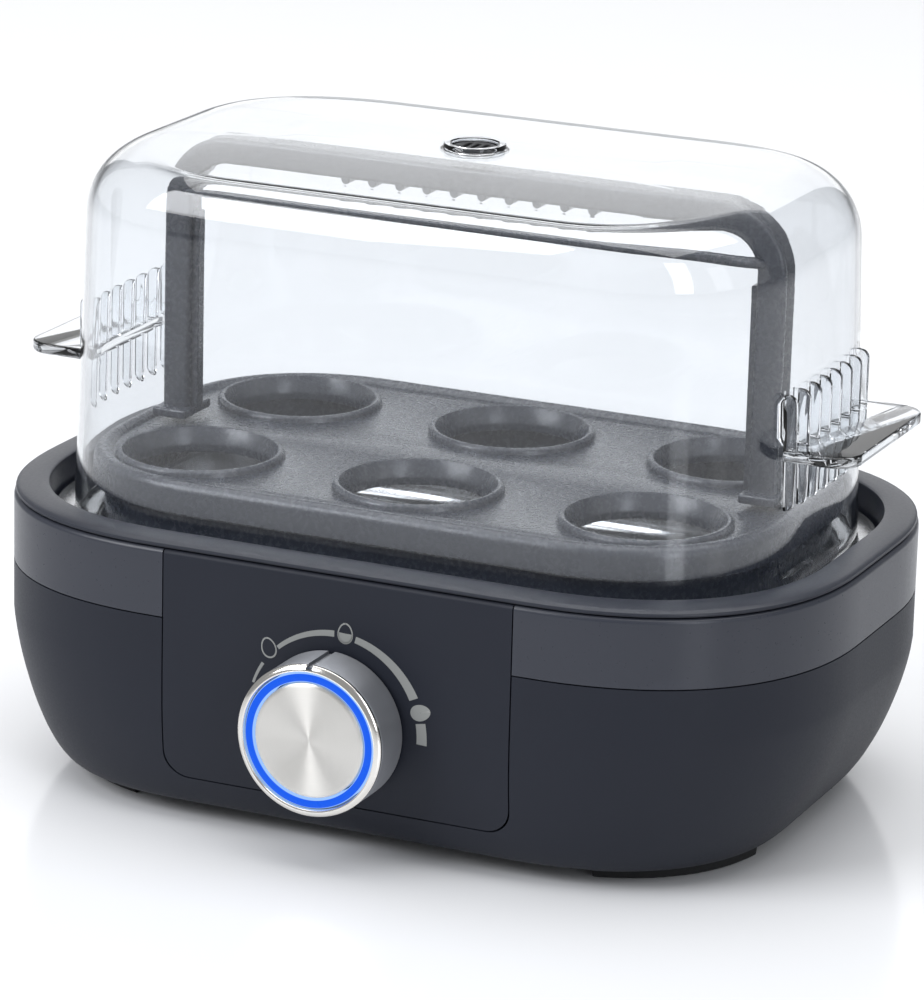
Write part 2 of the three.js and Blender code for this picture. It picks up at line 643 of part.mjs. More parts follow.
function tabShape() {
  const corner = 6;
  const root = LID.a - 12;
  const shape = new THREE.Shape();
  shape.moveTo(root, -TAB_HALF);
  shape.lineTo(TAB_TIP - corner, -TAB_HALF);
  shape.absarc(TAB_TIP - corner, -TAB_HALF + corner, corner, -Math.PI / 2, 0, false);
  shape.absarc(TAB_TIP - corner, TAB_HALF - corner, corner, 0, Math.PI / 2, false);
  shape.lineTo(root, TAB_HALF);
  shape.closePath();
  return shape;
}

function tab() {
  const flat = new THREE.ExtrudeGeometry(tabShape(), {
    depth: TAB_TOP - TAB_LOW, bevelEnabled: false, curveSegments: 5,
  });
  return flat.translate(0, 0, TAB_LOW);
}

// An upright blade seen from its side, rounded at both outer corners.
function finShape() {
  const middle = FIN_REACH - FIN_ROUND;
  const shape = new THREE.Shape();
  shape.moveTo(-FIN_ROOT, FIN_LOW);
  shape.absarc(middle, FIN_LOW + FIN_ROUND, FIN_ROUND, -Math.PI / 2, 0, false);
  shape.absarc(middle, FIN_TOP - FIN_ROUND, FIN_ROUND, 0, Math.PI / 2, false);
  shape.lineTo(-FIN_ROOT, FIN_TOP);
  shape.closePath();
  return shape;
}

function fin(index) {
  const y = (index - (FIN_COUNT - 1) / 2) * FIN_PITCH;
  const flat = new THREE.ExtrudeGeometry(finShape(), {
    depth: FIN_WIDTH, bevelEnabled: false, curveSegments: 5,
  });
  return flat.rotateX(Math.PI / 2).translate(lidWallX(y), y + FIN_WIDTH / 2, 0);
}

function lid() {
  const grips = join(tab(), ...Array.from({ length: FIN_COUNT }, (_, i) => fin(i)));
  const otherGrips = grips.clone().rotateZ(Math.PI);
  const collar = upright(rod(VENT_COLLAR_R, LID_TOP - 1, VENT_TOP));
  const bore = upright(rod(VENT_R, LID_TOP - 10, VENT_TOP + 5));
  return cut(join(loft(lidRings(0)), grips, otherGrips, collar), loft(lidRings(LID_WALL)), bore);
}

// Slotted insert in the vent.
function ventGrille() {
  const top = VENT_TOP - 0.8;
  const plug = upright(rod(VENT_R - GAP, LID_TOP - LID_WALL, top));
  const slots = [-2, 0, 2].map((x) => box([x - 0.5, -3, LID_TOP - 9], [x + 0.5, 3, top + 2]));
  return cut(plug, ...slots);
}

// ---------------------------------------------------------------- assembly
const object = new THREE.Group();
object.position.y = SHIFT_Y;

function add(group, name, geometry, material) {
  const mesh = new THREE.Mesh(geometry, material);
  mesh.name = name;
  group.add(mesh);
}

const base = new THREE.Group();
add(base, "base_housing", baseHousing(), ANTHRACITE);
add(base, "trim_band", trimBand(), SATIN_BAND);
add(base, "front_panel", frontPanel(), ANTHRACITE);
add(base, "upper_frame", upperFrame(), RIM_GREY);
add(base, "base_plate", basePlate(), BLACK_PLASTIC);
corners.forEach(([x, y], i) => {
  add(base, `foot_${i + 1}`, foot(x, y), RUBBER);
  add(base, `base_screw_${i + 1}`, baseScrew(x, y), STEEL);
});
add(base, "cord_gland", cordGland(), RUBBER);
add(base, "water_bowl", waterBowl(), STEEL);
add(base, "bowl_gasket", bowlGasket(), SILICONE);
add(base, "heat_spreader", slab(SPREADER, SPREADER_LOW, SPREADER_TOP), ALUMINIUM);
add(base, "heating_element", wireAlong(elementRoute, ELEMENT_R, 36), STEEL);
add(base, "heat_shield", slab({ a: 62, b: 30, r: 16 }, SHIELD_Z, SHIELD_Z + SHEET), STEEL);
const thermostat = post(THERMOSTAT_R, 0, 0, SPREADER_LOW - 7, SPREADER_LOW - GAP, ROUND_FACETS);
add(base, "thermostat", thermostat, CERAMIC);
add(base, "temperature_sensor", post(SENSOR_R, 20, 6, SPREADER_LOW - 6, SPREADER_LOW - GAP), STEEL);
add(base, "thermal_fuse", box([-30, 3, 34], [-16, 8, 38.5]), CERAMIC);
[["left", -1], ["right", 1]].forEach(([word, side]) => {
  add(base, `element_terminal_${word}`, terminal(side), BRASS);
  add(base, `lead_wire_${word}`, leadWire(side), WIRE_WHITE);
  add(base, `board_screw_${word}`, boardScrew(side), STEEL);
  add(base, `led_${word}`, led(side), CLEAR);
});
add(base, "control_board", controlBoard(), BOARD_GREEN);
add(base, "rotary_control", rotaryControl(), BLACK_PLASTIC);
add(base, "control_bushing", bushing(), BRASS);
add(base, "bushing_nut", bushingNut(), STEEL);
const switchCorner = [SWITCH_HALF, BOARD_FRONT - GAP, SWITCH_HALF];
const switchBody = box([-SWITCH_HALF, SWITCH_FRONT, -SWITCH_HALF], switchCorner);
add(base, "push_switch", onControl(switchBody), BLACK_PLASTIC);
add(base, "relay", onBoard(RELAY), RELAY_BLUE);
add(base, "capacitor", canOnBoard(CAPACITOR), ALUMINIUM);
add(base, "transformer", onBoard(TRANSFORMER), BLACK_PLASTIC);
add(base, "buzzer", canOnBoard(BUZZER), BLACK_PLASTIC);
add(base, "terminal_block", terminalBlock(), CERAMIC);

const knob = new THREE.Group();
add(knob, "knob_sleeve", knobSleeve(), BRUSHED);
add(knob, "knob_bezel", knobBezel(), STEEL);
add(knob, "knob_hub", knobHub(), BLACK_PLASTIC);
add(knob, "knob_shaft", knobShaft(), ALUMINIUM);
add(knob, "light_ring", lightRing(), BLUE_LIGHT);
add(knob, "power_button", powerButton(), BRUSHED);

const rack = new THREE.Group();
add(rack, "egg_tray", eggTray(), HANDLE_GREY);
add(rack, "carry_handle", carryHandle(), HANDLE_GREY);

const cover = new THREE.Group();
add(cover, "lid", lid(), CLEAR);
add(cover, "vent_grille", ventGrille(), BLACK_PLASTIC);

object.add(base, knob, rack, cover);

export default object;
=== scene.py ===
"""Six-egg cooker: an oval base with a steel bowl and a lit knob, an egg rack with a handle, and a clear lid.

Shapes are worked out in millimetres about the body's own upright axis. Each finished piece is then placed in the
frame, in metres.
"""
import math
from collections import namedtuple

import bmesh
import bpy
from mathutils import Matrix, Vector


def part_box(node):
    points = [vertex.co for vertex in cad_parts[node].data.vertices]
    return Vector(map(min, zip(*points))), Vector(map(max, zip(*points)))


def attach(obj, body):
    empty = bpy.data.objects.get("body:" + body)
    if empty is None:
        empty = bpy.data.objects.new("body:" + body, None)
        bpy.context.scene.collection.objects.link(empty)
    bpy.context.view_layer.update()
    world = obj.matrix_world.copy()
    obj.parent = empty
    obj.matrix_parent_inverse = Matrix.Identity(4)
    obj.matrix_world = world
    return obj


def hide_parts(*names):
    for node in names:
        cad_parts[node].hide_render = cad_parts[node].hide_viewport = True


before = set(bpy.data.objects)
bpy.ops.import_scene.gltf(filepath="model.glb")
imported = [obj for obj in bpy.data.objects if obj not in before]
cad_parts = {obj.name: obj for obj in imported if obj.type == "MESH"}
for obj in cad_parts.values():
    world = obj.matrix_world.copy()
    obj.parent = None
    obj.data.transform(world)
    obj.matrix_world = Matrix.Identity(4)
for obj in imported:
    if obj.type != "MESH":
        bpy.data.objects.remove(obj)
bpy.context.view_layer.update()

bl_info = {
    "name": "Egg cooker",
    "version": (1, 0, 0),
    "blender": (4, 5, 0),
    "location": "View3D > Sidebar > Egg cooker",
    "description": "Builds an egg cooker's visible pieces and finishes round its packed frame",
    "category": "Object",
}

MM = 0.001

# ------------------------------------------------------------------ sizes taken from the frame, in millimetres
Outline = namedtuple("Outline", "half_x half_y corner")


def span(node):
    """A CAD node's lowest and highest corners."""
    low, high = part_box(node)
    return low / MM, high / MM


def outline_of(node, corner):
    """The outline that a CAD node's box and a corner radius give."""
    low, high = span(node)
    return Outline((high.x - low.x) / 2, (high.y - low.y) / 2, corner)


BAND_LOW, BAND_HIGH = span("trim_band")
AXIS_Y = (BAND_LOW.y + BAND_HIGH.y) / 2
HOUSING_LOW, HOUSING_HIGH = span("base_housing")
PANEL_LOW, PANEL_HIGH = span("front_panel")
RIM_TOP = span("upper_frame")[1].z
BOWL_LOW, BOWL_HIGH = span("water_bowl")
TRAY_LOW, TRAY_HIGH = span("egg_tray")
HANDLE_LOW, HANDLE_HIGH = span("carry_handle")
LID_LOW, LID_HIGH = span("lid")
SLEEVE_LOW, SLEEVE_HIGH = span("knob_sleeve")
BEZEL_LOW, BEZEL_HIGH = span("knob_bezel")
BUTTON_LOW, BUTTON_HIGH = span("power_button")
LIGHT_LOW, LIGHT_HIGH = span("light_ring")
GLAND_LOW, GLAND_HIGH = span("cord_gland")
GRILLE_LOW, GRILLE_HIGH = span("vent_grille")
PLATE_LOW, PLATE_HIGH = span("base_plate")
FOOT_TOP = span("foot_1")[1].z
SCREW_LOW, SCREW_HIGH = span("base_screw_1")

BODY = outline_of("trim_band", 54)
FLANGE = outline_of("water_bowl", 46)
TRAY = outline_of("egg_tray", 39)
BOWL = Outline(77, 48, 37)
LID = Outline(82.5, (LID_HIGH.y - LID_LOW.y) / 2, 43)

SQUARENESS = 2.3  # 2 is a true arc, more is a squarer corner
CORNER_STEPS = 22
MERGE = 0.002
GAP = 0.3
WALL = 2.2

# The skin draws in towards the feet below this height, more at the ends than at the front and back.
TAPER_TOP = 35
END_TAPER = (14.4, 1.34)
FRONT_TAPER = (9, 2.66)
LIP = 1.1  # rounding along the skin's upper edge

PANEL_HALF = (PANEL_HIGH.x - PANEL_LOW.x) / 2
PANEL_CORNER = 5.7
SLOT_HALF = PANEL_HALF + GAP
SLOT_LOW = PANEL_LOW.z - GAP
CONTROL_Z = (SLEEVE_LOW.z + SLEEVE_HIGH.z) / 2
KNOB_R = (SLEEVE_HIGH.x - SLEEVE_LOW.x) / 2
FACE_Y = BAND_LOW.y - AXIS_Y
GLAND_Z = (GLAND_LOW.z + GLAND_HIGH.z) / 2
LED_X = 10.6  # the two indicator lamps' distance from the knob's axis
LIGHT_INNER, LIGHT_OUTER = 12.7, 14.55  # radii of the lit ring


# ------------------------------------------------------------------ colours
def linear(code):
    """An sRGB hex colour as linear red, green, blue and alpha."""
    parts = [int(code[i:i + 2], 16) / 255 for i in (1, 3, 5)]
    return (*(c / 12.92 if c <= 0.04045 else ((c + 0.055) / 1.055) ** 2.4 for c in parts), 1.0)


def colour_property(name, description, code):
    """A colour that a user may change, from its sRGB hex default."""
    return bpy.props.FloatVectorProperty(
        name=name, description=description, subtype="COLOR", size=4, min=0, max=1, default=linear(code))


class EggCookerColours(bpy.types.PropertyGroup):
    """Colours of the visible finishes."""

    housing: colour_property("Housing", "Textured plastic of the base and front panel", "#242730")
    band: colour_property("Band", "Satin plastic of the band and rim", "#33363f")
    rack: colour_property("Rack", "Satin plastic of the egg tray and handle", "#31343c")
    steel: colour_property("Steel", "Stainless steel of the bowl", "#c9cacc")
    knob: colour_property("Knob", "Turned metal of the knob", "#96989d")
    light: colour_property("Light ring", "Light round the button", "#0059ea")
    print_ink: colour_property("Scale", "Ink of the printed scale", "#8f918f")
    floor: colour_property("Floor", "Studio floor", "#ebecee")


class EggCookerSizes(bpy.types.PropertyGroup):
    """Sizes of the detail that the frame leaves open."""

    edge: bpy.props.FloatProperty(
        name="Edge rounding", description="Radius along the moulded edges", default=0.35 * MM, min=0,
        unit="LENGTH")
    lid_wall: bpy.props.FloatProperty(
        name="Lid wall", description="Thickness of the clear lid", default=1.2 * MM, min=0.5 * MM,
        unit="LENGTH")
    fin_count: bpy.props.IntProperty(
        name="Fins", description="Upright fins at each end of the lid", default=8, min=1)
    fin_pitch: bpy.props.FloatProperty(
        name="Fin pitch", description="Distance between the lid's fins", default=6.1 * MM, unit="LENGTH")
    rib_count: bpy.props.IntProperty(
        name="Grip ribs", description="Finger ribs under the handle's bar", default=10, min=1)
    rib_pitch: bpy.props.FloatProperty(
        name="Rib pitch", description="Distance between the finger ribs", default=6.4 * MM, unit="LENGTH")
    seat_pitch_x: bpy.props.FloatProperty(
        name="Seat pitch along", description="Distance between egg seats in a row", default=52 * MM,
        unit="LENGTH")
    seat_pitch_y: bpy.props.FloatProperty(
        name="Seat pitch across", description="Distance between the two rows", default=49 * MM, unit="LENGTH")
    camera_distance: bpy.props.FloatProperty(
        name="Camera distance", description="From the camera to what it looks at", default=1.0865,
        unit="LENGTH")


# ------------------------------------------------------------------ node trees
def node(tree, kind, settings=None, inputs=None):
    """Adds a node, sets its properties, and fills or links its inputs."""
    made = tree.nodes.new(kind)
    for key, value in (settings or {}).items():
        setattr(made, key, value)
    for key, value in (inputs or {}).items():
        if isinstance(value, bpy.types.Node):
            value = value.outputs[0]
        if isinstance(value, bpy.types.NodeSocket):
            tree.links.new(value, made.inputs[key])
        else:
            made.inputs[key].default_value = value
    return made


def new_material(name):
    """An empty node material and its tree."""
    material = bpy.data.materials.new(name)
    material.use_nodes = True
    material.node_tree.nodes.clear()
    return material, material.node_tree


def finish_colour(colour, tone=1.0):
    """A colour from its sRGB hex code or its property's name, made lighter or darker by a factor."""
    value = linear(colour) if colour.startswith("#") else getattr(bpy.context.scene.egg_cooker_colours, colour)
    return (*(min(1.0, part * tone) for part in value[:3]), 1.0)


NOISE_RANGE = {"From Min": 0.3, "From Max": 0.7}  # where nearly all of a noise's values lie
DRIFT_SIZE = 24  # moulded colour drifts over about this many millimetres
WORN_TONE = 2.2  # a worn edge is this much paler


def centred(tree, point, scale):
    """Object coordinates measured from a point given in millimetres about the body's axis, and stretched."""
    x, y, z = point
    place = node(tree, "ShaderNodeTexCoord").outputs["Object"]
    offset = node(tree, "ShaderNodeVectorMath", {"operation": "SUBTRACT"},
                  {0: place, 1: (x * MM, (y + AXIS_Y) * MM, z * MM)})
    return node(tree, "ShaderNodeVectorMath", {"operation": "MULTIPLY"}, {0: offset, 1: scale})


def lathe_lines(tree, spacing):
    """Noise that depends on the distance from the control's axis and on the place along it."""
    place = centred(tree, (0, 0, CONTROL_Z), (1, 0, 1))
    across = node(tree, "ShaderNodeVectorMath", {"operation": "LENGTH"}, {0: place}).outputs["Value"]
    along = node(tree, "ShaderNodeSeparateXYZ", None, {0: node(tree, "ShaderNodeTexCoord").outputs["Object"]})
    total = node(tree, "ShaderNodeMath", {"operation": "ADD"}, {0: across, 1: along.outputs["Y"]})
    return node(tree, "ShaderNodeTexNoise", {"noise_dimensions": "1D"},
                {"W": total, "Scale": 1 / (spacing * MM), "Detail": 3.0, "Roughness": 0.7})


def moulded(name, colour, roughness, grain, relief, drift=0.08, wear=0.0, gloss=0.5, tone=1.0):
    """A moulded finish: the tool's grain in its skin, a slow drift of its colour, and paler worn edges."""
    material, tree = new_material(name)
    place = node(tree, "ShaderNodeTexCoord").outputs["Object"]
    slow = node(tree, "ShaderNodeTexNoise", None, {
        "Vector": place, "Scale": 1 / (DRIFT_SIZE * MM), "Detail": 3.0, "Roughness": 0.5})
    skin = node(tree, "ShaderNodeTexNoise", None, {
        "Vector": place, "Scale": 1 / (grain * MM), "Detail": 3.0, "Roughness": 0.6})
    tint = node(tree, "ShaderNodeMix", {"data_type": "RGBA"}, {
        0: slow, 6: finish_colour(colour, tone * (1 - drift)), 7: finish_colour(colour, tone * (1 + drift))})
    if wear:
        edge = node(tree, "ShaderNodeMapRange", None, {
            "Value": node(tree, "ShaderNodeNewGeometry").outputs["Pointiness"],
            "From Min": 0.52, "From Max": 0.6, "To Min": 0.0, "To Max": wear})
        tint = node(tree, "ShaderNodeMix", {"data_type": "RGBA"}, {
            0: edge, 6: tint.outputs[2], 7: finish_colour(colour, tone * WORN_TONE)})
    rough = node(tree, "ShaderNodeMapRange", None, {
        "Value": skin, **NOISE_RANGE, "To Min": 0.9 * roughness, "To Max": 1.1 * roughness})
    bump = node(tree, "ShaderNodeBump", None, {"Height": skin, "Distance": relief * MM, "Strength": 1.0})
    shader = node(tree, "ShaderNodeBsdfPrincipled", None, {
        "Base Color": tint.outputs[2], "Roughness": rough, "Normal": bump, "IOR": 1.53,
        "Specular IOR Level": gloss})
    node(tree, "ShaderNodeOutputMaterial", None, {"Surface": shader})
    return material


def metal(name, colour, roughness, mark, relief, drift=0.06, stretch=None, detail=3.0, fineness=0.6,
          on_lathe=False, anisotropic=0.0):
    """Bare metal with the marks of how it was worked: lathe lines, or grain that may be stretched one way."""
    material, tree = new_material(name)
    if on_lathe:
        marks = lathe_lines(tree, mark)
    else:
        place = node(tree, "ShaderNodeTexCoord").outputs["Object"]
        if stretch:
            place = centred(tree, (0, 0, 0), stretch)
        marks = node(tree, "ShaderNodeTexNoise", None, {
            "Vector": place, "Scale": 1 / (mark * MM), "Detail": detail, "Roughness": fineness})
    tint = node(tree, "ShaderNodeMix", {"data_type": "RGBA"}, {
        0: marks, 6: finish_colour(colour, 1 - drift), 7: finish_colour(colour, 1 + drift)})
    rough = node(tree, "ShaderNodeMapRange", None, {
        "Value": marks, **NOISE_RANGE, "To Min": roughness - 0.06, "To Max": roughness + 0.06})
    bump = node(tree, "ShaderNodeBump", None, {"Height": marks, "Distance": relief * MM, "Strength": 1.0})
    inputs = {"Base Color": tint.outputs[2], "Metallic": 1.0, "Roughness": rough, "Normal": bump}
    if anisotropic:
        inputs["Anisotropic"] = anisotropic
        inputs["Anisotropic Rotation"] = 0.25  # rough across the circular lines, smooth along them
        inputs["Tangent"] = node(tree, "ShaderNodeTangent", {"direction_type": "RADIAL", "axis": "Y"})
    shader = node(tree, "ShaderNodeBsdfPrincipled", None, inputs)
    node(tree, "ShaderNodeOutputMaterial", None, {"Surface": shader})
    return material


def lit_from_behind(name, colour, spill, inner, outer):
    """A frosted ring that glows in its colour, paler where the light spills along both edges."""
    material, tree = new_material(name)
    place = centred(tree, (0, 0, CONTROL_Z), (1, 0, 1))
    across = node(tree, "ShaderNodeVectorMath", {"operation": "LENGTH"}, {0: place}).outputs["Value"]
    share = node(tree, "ShaderNodeMapRange", None, {
        "Value": across, "From Min": inner * MM, "From Max": outer * MM})
    ramp = node(tree, "ShaderNodeValToRGB", None, {"Fac": share})
    pale, full = linear(spill), finish_colour(colour)
    stops = ramp.color_ramp.elements
    stops.remove(stops[1])
    stops[0].color = pale
    for place_on_ramp, stop in ((0.05, pale), (0.11, full), (0.9, full), (0.95, pale), (1.0, pale)):
        stops.new(place_on_ramp).color = stop
    frost = node(tree, "ShaderNodeTexNoise", None, {
        "Vector": node(tree, "ShaderNodeTexCoord").outputs["Object"], "Scale": 1 / (2.5 * MM),
        "Detail": 2.0, "Roughness": 0.5})
    rough = node(tree, "ShaderNodeMapRange", None, {
        "Value": frost, **NOISE_RANGE, "To Min": 0.25, "To Max": 0.35})
    shader = node(tree, "ShaderNodeBsdfPrincipled", None, {
        "Base Color": linear("#04143c"), "Emission Color": ramp.outputs["Color"], "Emission Strength": 1.0,
        "Roughness": rough, "IOR": 1.49, "Specular IOR Level": 0.2})
    node(tree, "ShaderNodeOutputMaterial", None, {"Surface": shader})
    return material


def clear(name, colour, roughness, waviness):
    """Clear plastic: it bends what is behind it, mirrors the studio, and lets lamps through."""
    material, tree = new_material(name)
    place = node(tree, "ShaderNodeTexCoord").outputs["Object"]
    waves = node(tree, "ShaderNodeTexNoise", None, {
        "Vector": place, "Scale": 1 / (30 * MM), "Detail": 1.5, "Roughness": 0.5})
    haze = node(tree, "ShaderNodeTexNoise", None, {
        "Vector": place, "Scale": 1 / (6 * MM), "Detail": 3.0, "Roughness": 0.6})
    rough = node(tree, "ShaderNodeMapRange", None, {
        "Value": haze, **NOISE_RANGE, "To Min": roughness, "To Max": roughness + 0.012})
    bump = node(tree, "ShaderNodeBump", None, {"Height": waves, "Distance": waviness * MM, "Strength": 1.0})
    shader = node(tree, "ShaderNodeBsdfPrincipled", None, {
        "Base Color": linear(colour), "Roughness": rough, "Transmission Weight": 1.0, "IOR": 1.5,
        "Normal": bump})
    lamp = node(tree, "ShaderNodeBsdfTransparent", None, {"Color": finish_colour(colour, 0.97)})
    path = node(tree, "ShaderNodeLightPath").outputs
    soft = node(tree, "ShaderNodeMath", {"operation": "MAXIMUM"}, {
        0: path["Is Shadow Ray"], 1: path["Is Diffuse Ray"]})
    mix = node(tree, "ShaderNodeMixShader", None, {0: soft, 1: shader, 2: lamp})
    node(tree, "ShaderNodeOutputMaterial", None, {"Surface": mix})
    return material


# Each finish by its slot. Grain, marks and relief are in millimetres. A real grain or line that is too fine to
# show is drawn as coarse as it needs to be, and the comment gives its real size.
FINISHES = {
    # Spark-eroded ABS: dark and matte, with a grain that breaks up highlights. The real grain is about 0.1 mm.
    "body_plastic": (moulded, dict(
        name="matte_moulded_abs", colour="housing", roughness=0.46, grain=0.5, relief=0.004, drift=0.07,
        wear=0.06, gloss=0.18)),
    # ABS from a finely stoned tool: satin, with soft long reflections. The real stoning is about 0.05 mm.
    "band_plastic": (moulded, dict(
        name="satin_moulded_abs", colour="band", roughness=0.3, grain=0.9, relief=0.0012, drift=0.05,
        wear=0.1, gloss=0.36)),
    # The same plastic on the rim: darker, and a little rougher from handling and steam.
    "rim_plastic": (moulded, dict(
        name="satin_moulded_rim", colour="band", tone=0.8, roughness=0.34, grain=0.7, relief=0.002, drift=0.06,
        wear=0.15, gloss=0.32)),
    # Heat-proof polypropylene: an even waxy satin that is a little paler along its edges.
    "rack_plastic": (moulded, dict(
        name="satin_moulded_polypropylene", colour="rack", roughness=0.27, grain=1.1, relief=0.0007, drift=0.02,
        wear=0.1)),
    # Glass-filled black plastic: dull, with visible speckle.
    "black_plastic": (moulded, dict(
        name="matte_black_plastic", colour="#1a1b1e", roughness=0.6, grain=0.8, relief=0.02, drift=0.12)),
    # Moulded rubber: nearly black and dull, with a dusty drift of grey.
    "rubber": (moulded, dict(
        name="moulded_rubber", colour="#17181a", roughness=0.78, grain=0.9, relief=0.03, drift=0.2)),
    # Moulded silicone: grey, soft and matte, with a faint bloom.
    "silicone": (moulded, dict(
        name="moulded_silicone", colour="#8b8d90", roughness=0.6, grain=1.4, relief=0.02)),
    # Unglazed steatite: off-white and dry, with fine pits.
    "ceramic": (moulded, dict(
        name="fired_steatite", colour="#e6e0d2", roughness=0.62, grain=0.4, relief=0.02, drift=0.04)),
    # Woven glass-fibre sleeve: off-white, with the bump of its threads.
    "wire_sleeve": (moulded, dict(
        name="woven_glass_sleeve", colour="#d8d3c6", roughness=0.7, grain=0.35, relief=0.06)),
    # Green solder mask over glass cloth: semi-gloss, with the weave just showing.
    "circuit_board": (moulded, dict(
        name="solder_masked_board", colour="#1f5a3b", roughness=0.4, grain=0.6, relief=0.01, drift=0.1)),
    # Moulded blue nylon: semi-gloss and even.
    "relay_blue": (moulded, dict(
        name="moulded_blue_nylon", colour="#234a9c", roughness=0.38, grain=0.9, relief=0.006, drift=0.05)),
    # Pad-printed ink: even and dull, with tiny pinholes from the pad.
    "ink": (moulded, dict(
        name="pad_printed_ink", colour="print_ink", roughness=0.5, grain=0.35, relief=0.01, drift=0.05)),
    # Deep-drawn stainless sheet: bright, with long faint draw marks down its sides.
    "bowl_steel": (metal, dict(
        name="deep_drawn_stainless", colour="steel", roughness=0.2, mark=0.8, relief=0.003, drift=0.05,
        stretch=(1, 1, 0.08))),
    # Nickel-iron sheath dulled by heat: dark, with a brown drift.
    "element_steel": (metal, dict(
        name="heat_dulled_sheath", colour="#8d8782", roughness=0.42, mark=3, relief=0.01, drift=0.15,
        detail=4.0)),
    # Zinc-plated steel: soft bright grey with a faint mottle.
    "screw_steel": (metal, dict(
        name="zinc_plated_steel", colour="#b9bcc2", roughness=0.32, mark=0.9, relief=0.004, drift=0.08,
        fineness=0.5)),
    # Cast and turned aluminium: pale and soft, with fine tool marks.
    "aluminium": (metal, dict(
        name="turned_aluminium", colour="#bfc1c4", roughness=0.38, mark=0.5, relief=0.006,
        stretch=(0.2, 1, 1))),
    # Turned brass: warm yellow with slight tarnish.
    "brass": (metal, dict(
        name="turned_brass", colour="#bd9b58", roughness=0.32, mark=1.5, relief=0.005, drift=0.12)),
    # Aluminium brushed round its turn: lines that pull highlights along it. The real lines are about 0.05 mm.
    "knob_steel": (metal, dict(
        name="brushed_knob_barrel", colour="knob", roughness=0.5, mark=0.28, relief=0.004, drift=0.08,
        on_lathe=True, anisotropic=0.8)),
    # Diamond-cut chamfer: nearly a mirror, with faint cutting rings.
    "bezel_chrome": (metal, dict(
        name="diamond_cut_bezel", colour="#e9e6e0", roughness=0.14, mark=0.5, relief=0.002, drift=0.03,
        on_lathe=True)),
    # Spun aluminium: lathe lines that throw a fan of light from the middle. The real lines are about 0.04 mm.
    "button_steel": (metal, dict(
        name="spun_aluminium_disc", colour="#dddbd6", roughness=0.36, mark=0.22, relief=0.003, drift=0.05,
        on_lathe=True, anisotropic=0.95)),
    # Frosted acrylic lit from behind: saturated blue with a pale line along each edge.
    "blue_light": (lit_from_behind, dict(
        name="lit_frosted_acrylic", colour="light", spill="#9cc4ff", inner=LIGHT_INNER, outer=LIGHT_OUTER)),
    # Moulded polycarbonate: water-clear, with the slow waviness of a large moulding and a trace of haze.
    "lid_clear": (clear, dict(
        name="clear_moulded_polycarbonate", colour="#f7f9fb", roughness=0.0, waviness=0.05)),
    # Cast epoxy: clear with a faint warm tint.
    "clear_resin": (clear, dict(
        name="cast_clear_epoxy", colour="#f2efe6", roughness=0.05, waviness=0.01)),
}
made_materials = {}


def material_for(slot):
    """The material of a slot, made when it is first asked for."""
    if slot not in made_materials:
        make, values = FINISHES[slot]
        made_materials[slot] = make(**values)
    return made_materials[slot]


# ------------------------------------------------------------------ meshes
def link(piece):
    """Puts an object in the scene."""
    bpy.context.scene.collection.objects.link(piece)
    return piece


def tidy(mesh, outwards):
    """Merges doubled points and, on a closed solid, turns its faces outwards."""
    work = bmesh.new()
    work.from_mesh(mesh)
    bmesh.ops.remove_doubles(work, verts=work.verts, dist=MERGE)
    if outwards:
        bmesh.ops.recalc_face_normals(work, faces=work.faces)
    work.to_mesh(mesh)
    work.free()
    mesh.shade_smooth()


def shape(name, points, faces, outwards=True):
    """A smooth-shaded mesh object from its points and faces. An open sheet keeps the way its faces point."""
    mesh = bpy.data.meshes.new(name)
    mesh.from_pydata(points, [], faces)
    tidy(mesh, outwards)
    return link(bpy.data.objects.new(name, mesh))


def strip_faces(rows, columns, first=0, wrap=False):
    """Quads between neighbouring rows of points, stored row by row."""
    last = columns if wrap else columns - 1
    faces = []
    for row in range(rows - 1):
        low, high = first + row * columns, first + (row + 1) * columns
        for i in range(last):
            j = (i + 1) % columns
            faces.append((low + i, low + j, high + j, high + i))
    return faces


def ring(base, z, inset, depth_inset=None, squareness=SQUARENESS):
    """A rounded rectangle as one level ring of points, anticlockwise from above."""
    depth_inset = inset if depth_inset is None else depth_inset
    half_x, half_y = base.half_x - inset, base.half_y - depth_inset
    corner = max(base.corner - (inset + depth_inset) / 2, 3)
    points = []
    for quarter in range(4):
        sign_x = 1 if quarter in (0, 3) else -1
        sign_y = 1 if quarter < 2 else -1
        for step in range(CORNER_STEPS + 1):
            turn = step / CORNER_STEPS * math.pi / 2
            angle = turn if quarter % 2 == 0 else math.pi / 2 - turn
            x = half_x - corner + corner * math.cos(angle) ** (2 / squareness)
            y = half_y - corner + corner * math.sin(angle) ** (2 / squareness)
            points.append((sign_x * x, sign_y * y, z))
    return points


def circle_ring(radius, z):
    """A round ring with as many points as a rounded rectangle's."""
    return ring(Outline(radius, radius, radius), z, 0, squareness=2)


def loft(name, rings, closed=False):
    """Skins a stack of rings, which is capped at both ends unless it closes on itself."""
    count = len(rings[0])
    points = [point for level in rings for point in level]
    faces = strip_faces(len(rings), count, wrap=True)
    if closed:
        last = (len(rings) - 1) * count
        faces += [(last + i, last + (i + 1) % count, (i + 1) % count, i) for i in range(count)]
    else:
        faces += [tuple(reversed(range(count))), tuple(range((len(rings) - 1) * count, len(points)))]
    return shape(name, points, faces)


def on_control(across, up, along):
    """A place about the control's axis."""
    return across, along, CONTROL_Z + up


def on_gland(across, up, along):
    """A place about the axis of the cord's opening in the rear wall."""
    return across, along, GLAND_Z + up


def upright_at(x, y):
    """A place about an upright axis."""
    return lambda across, up, along: (x + across, y + up, along)


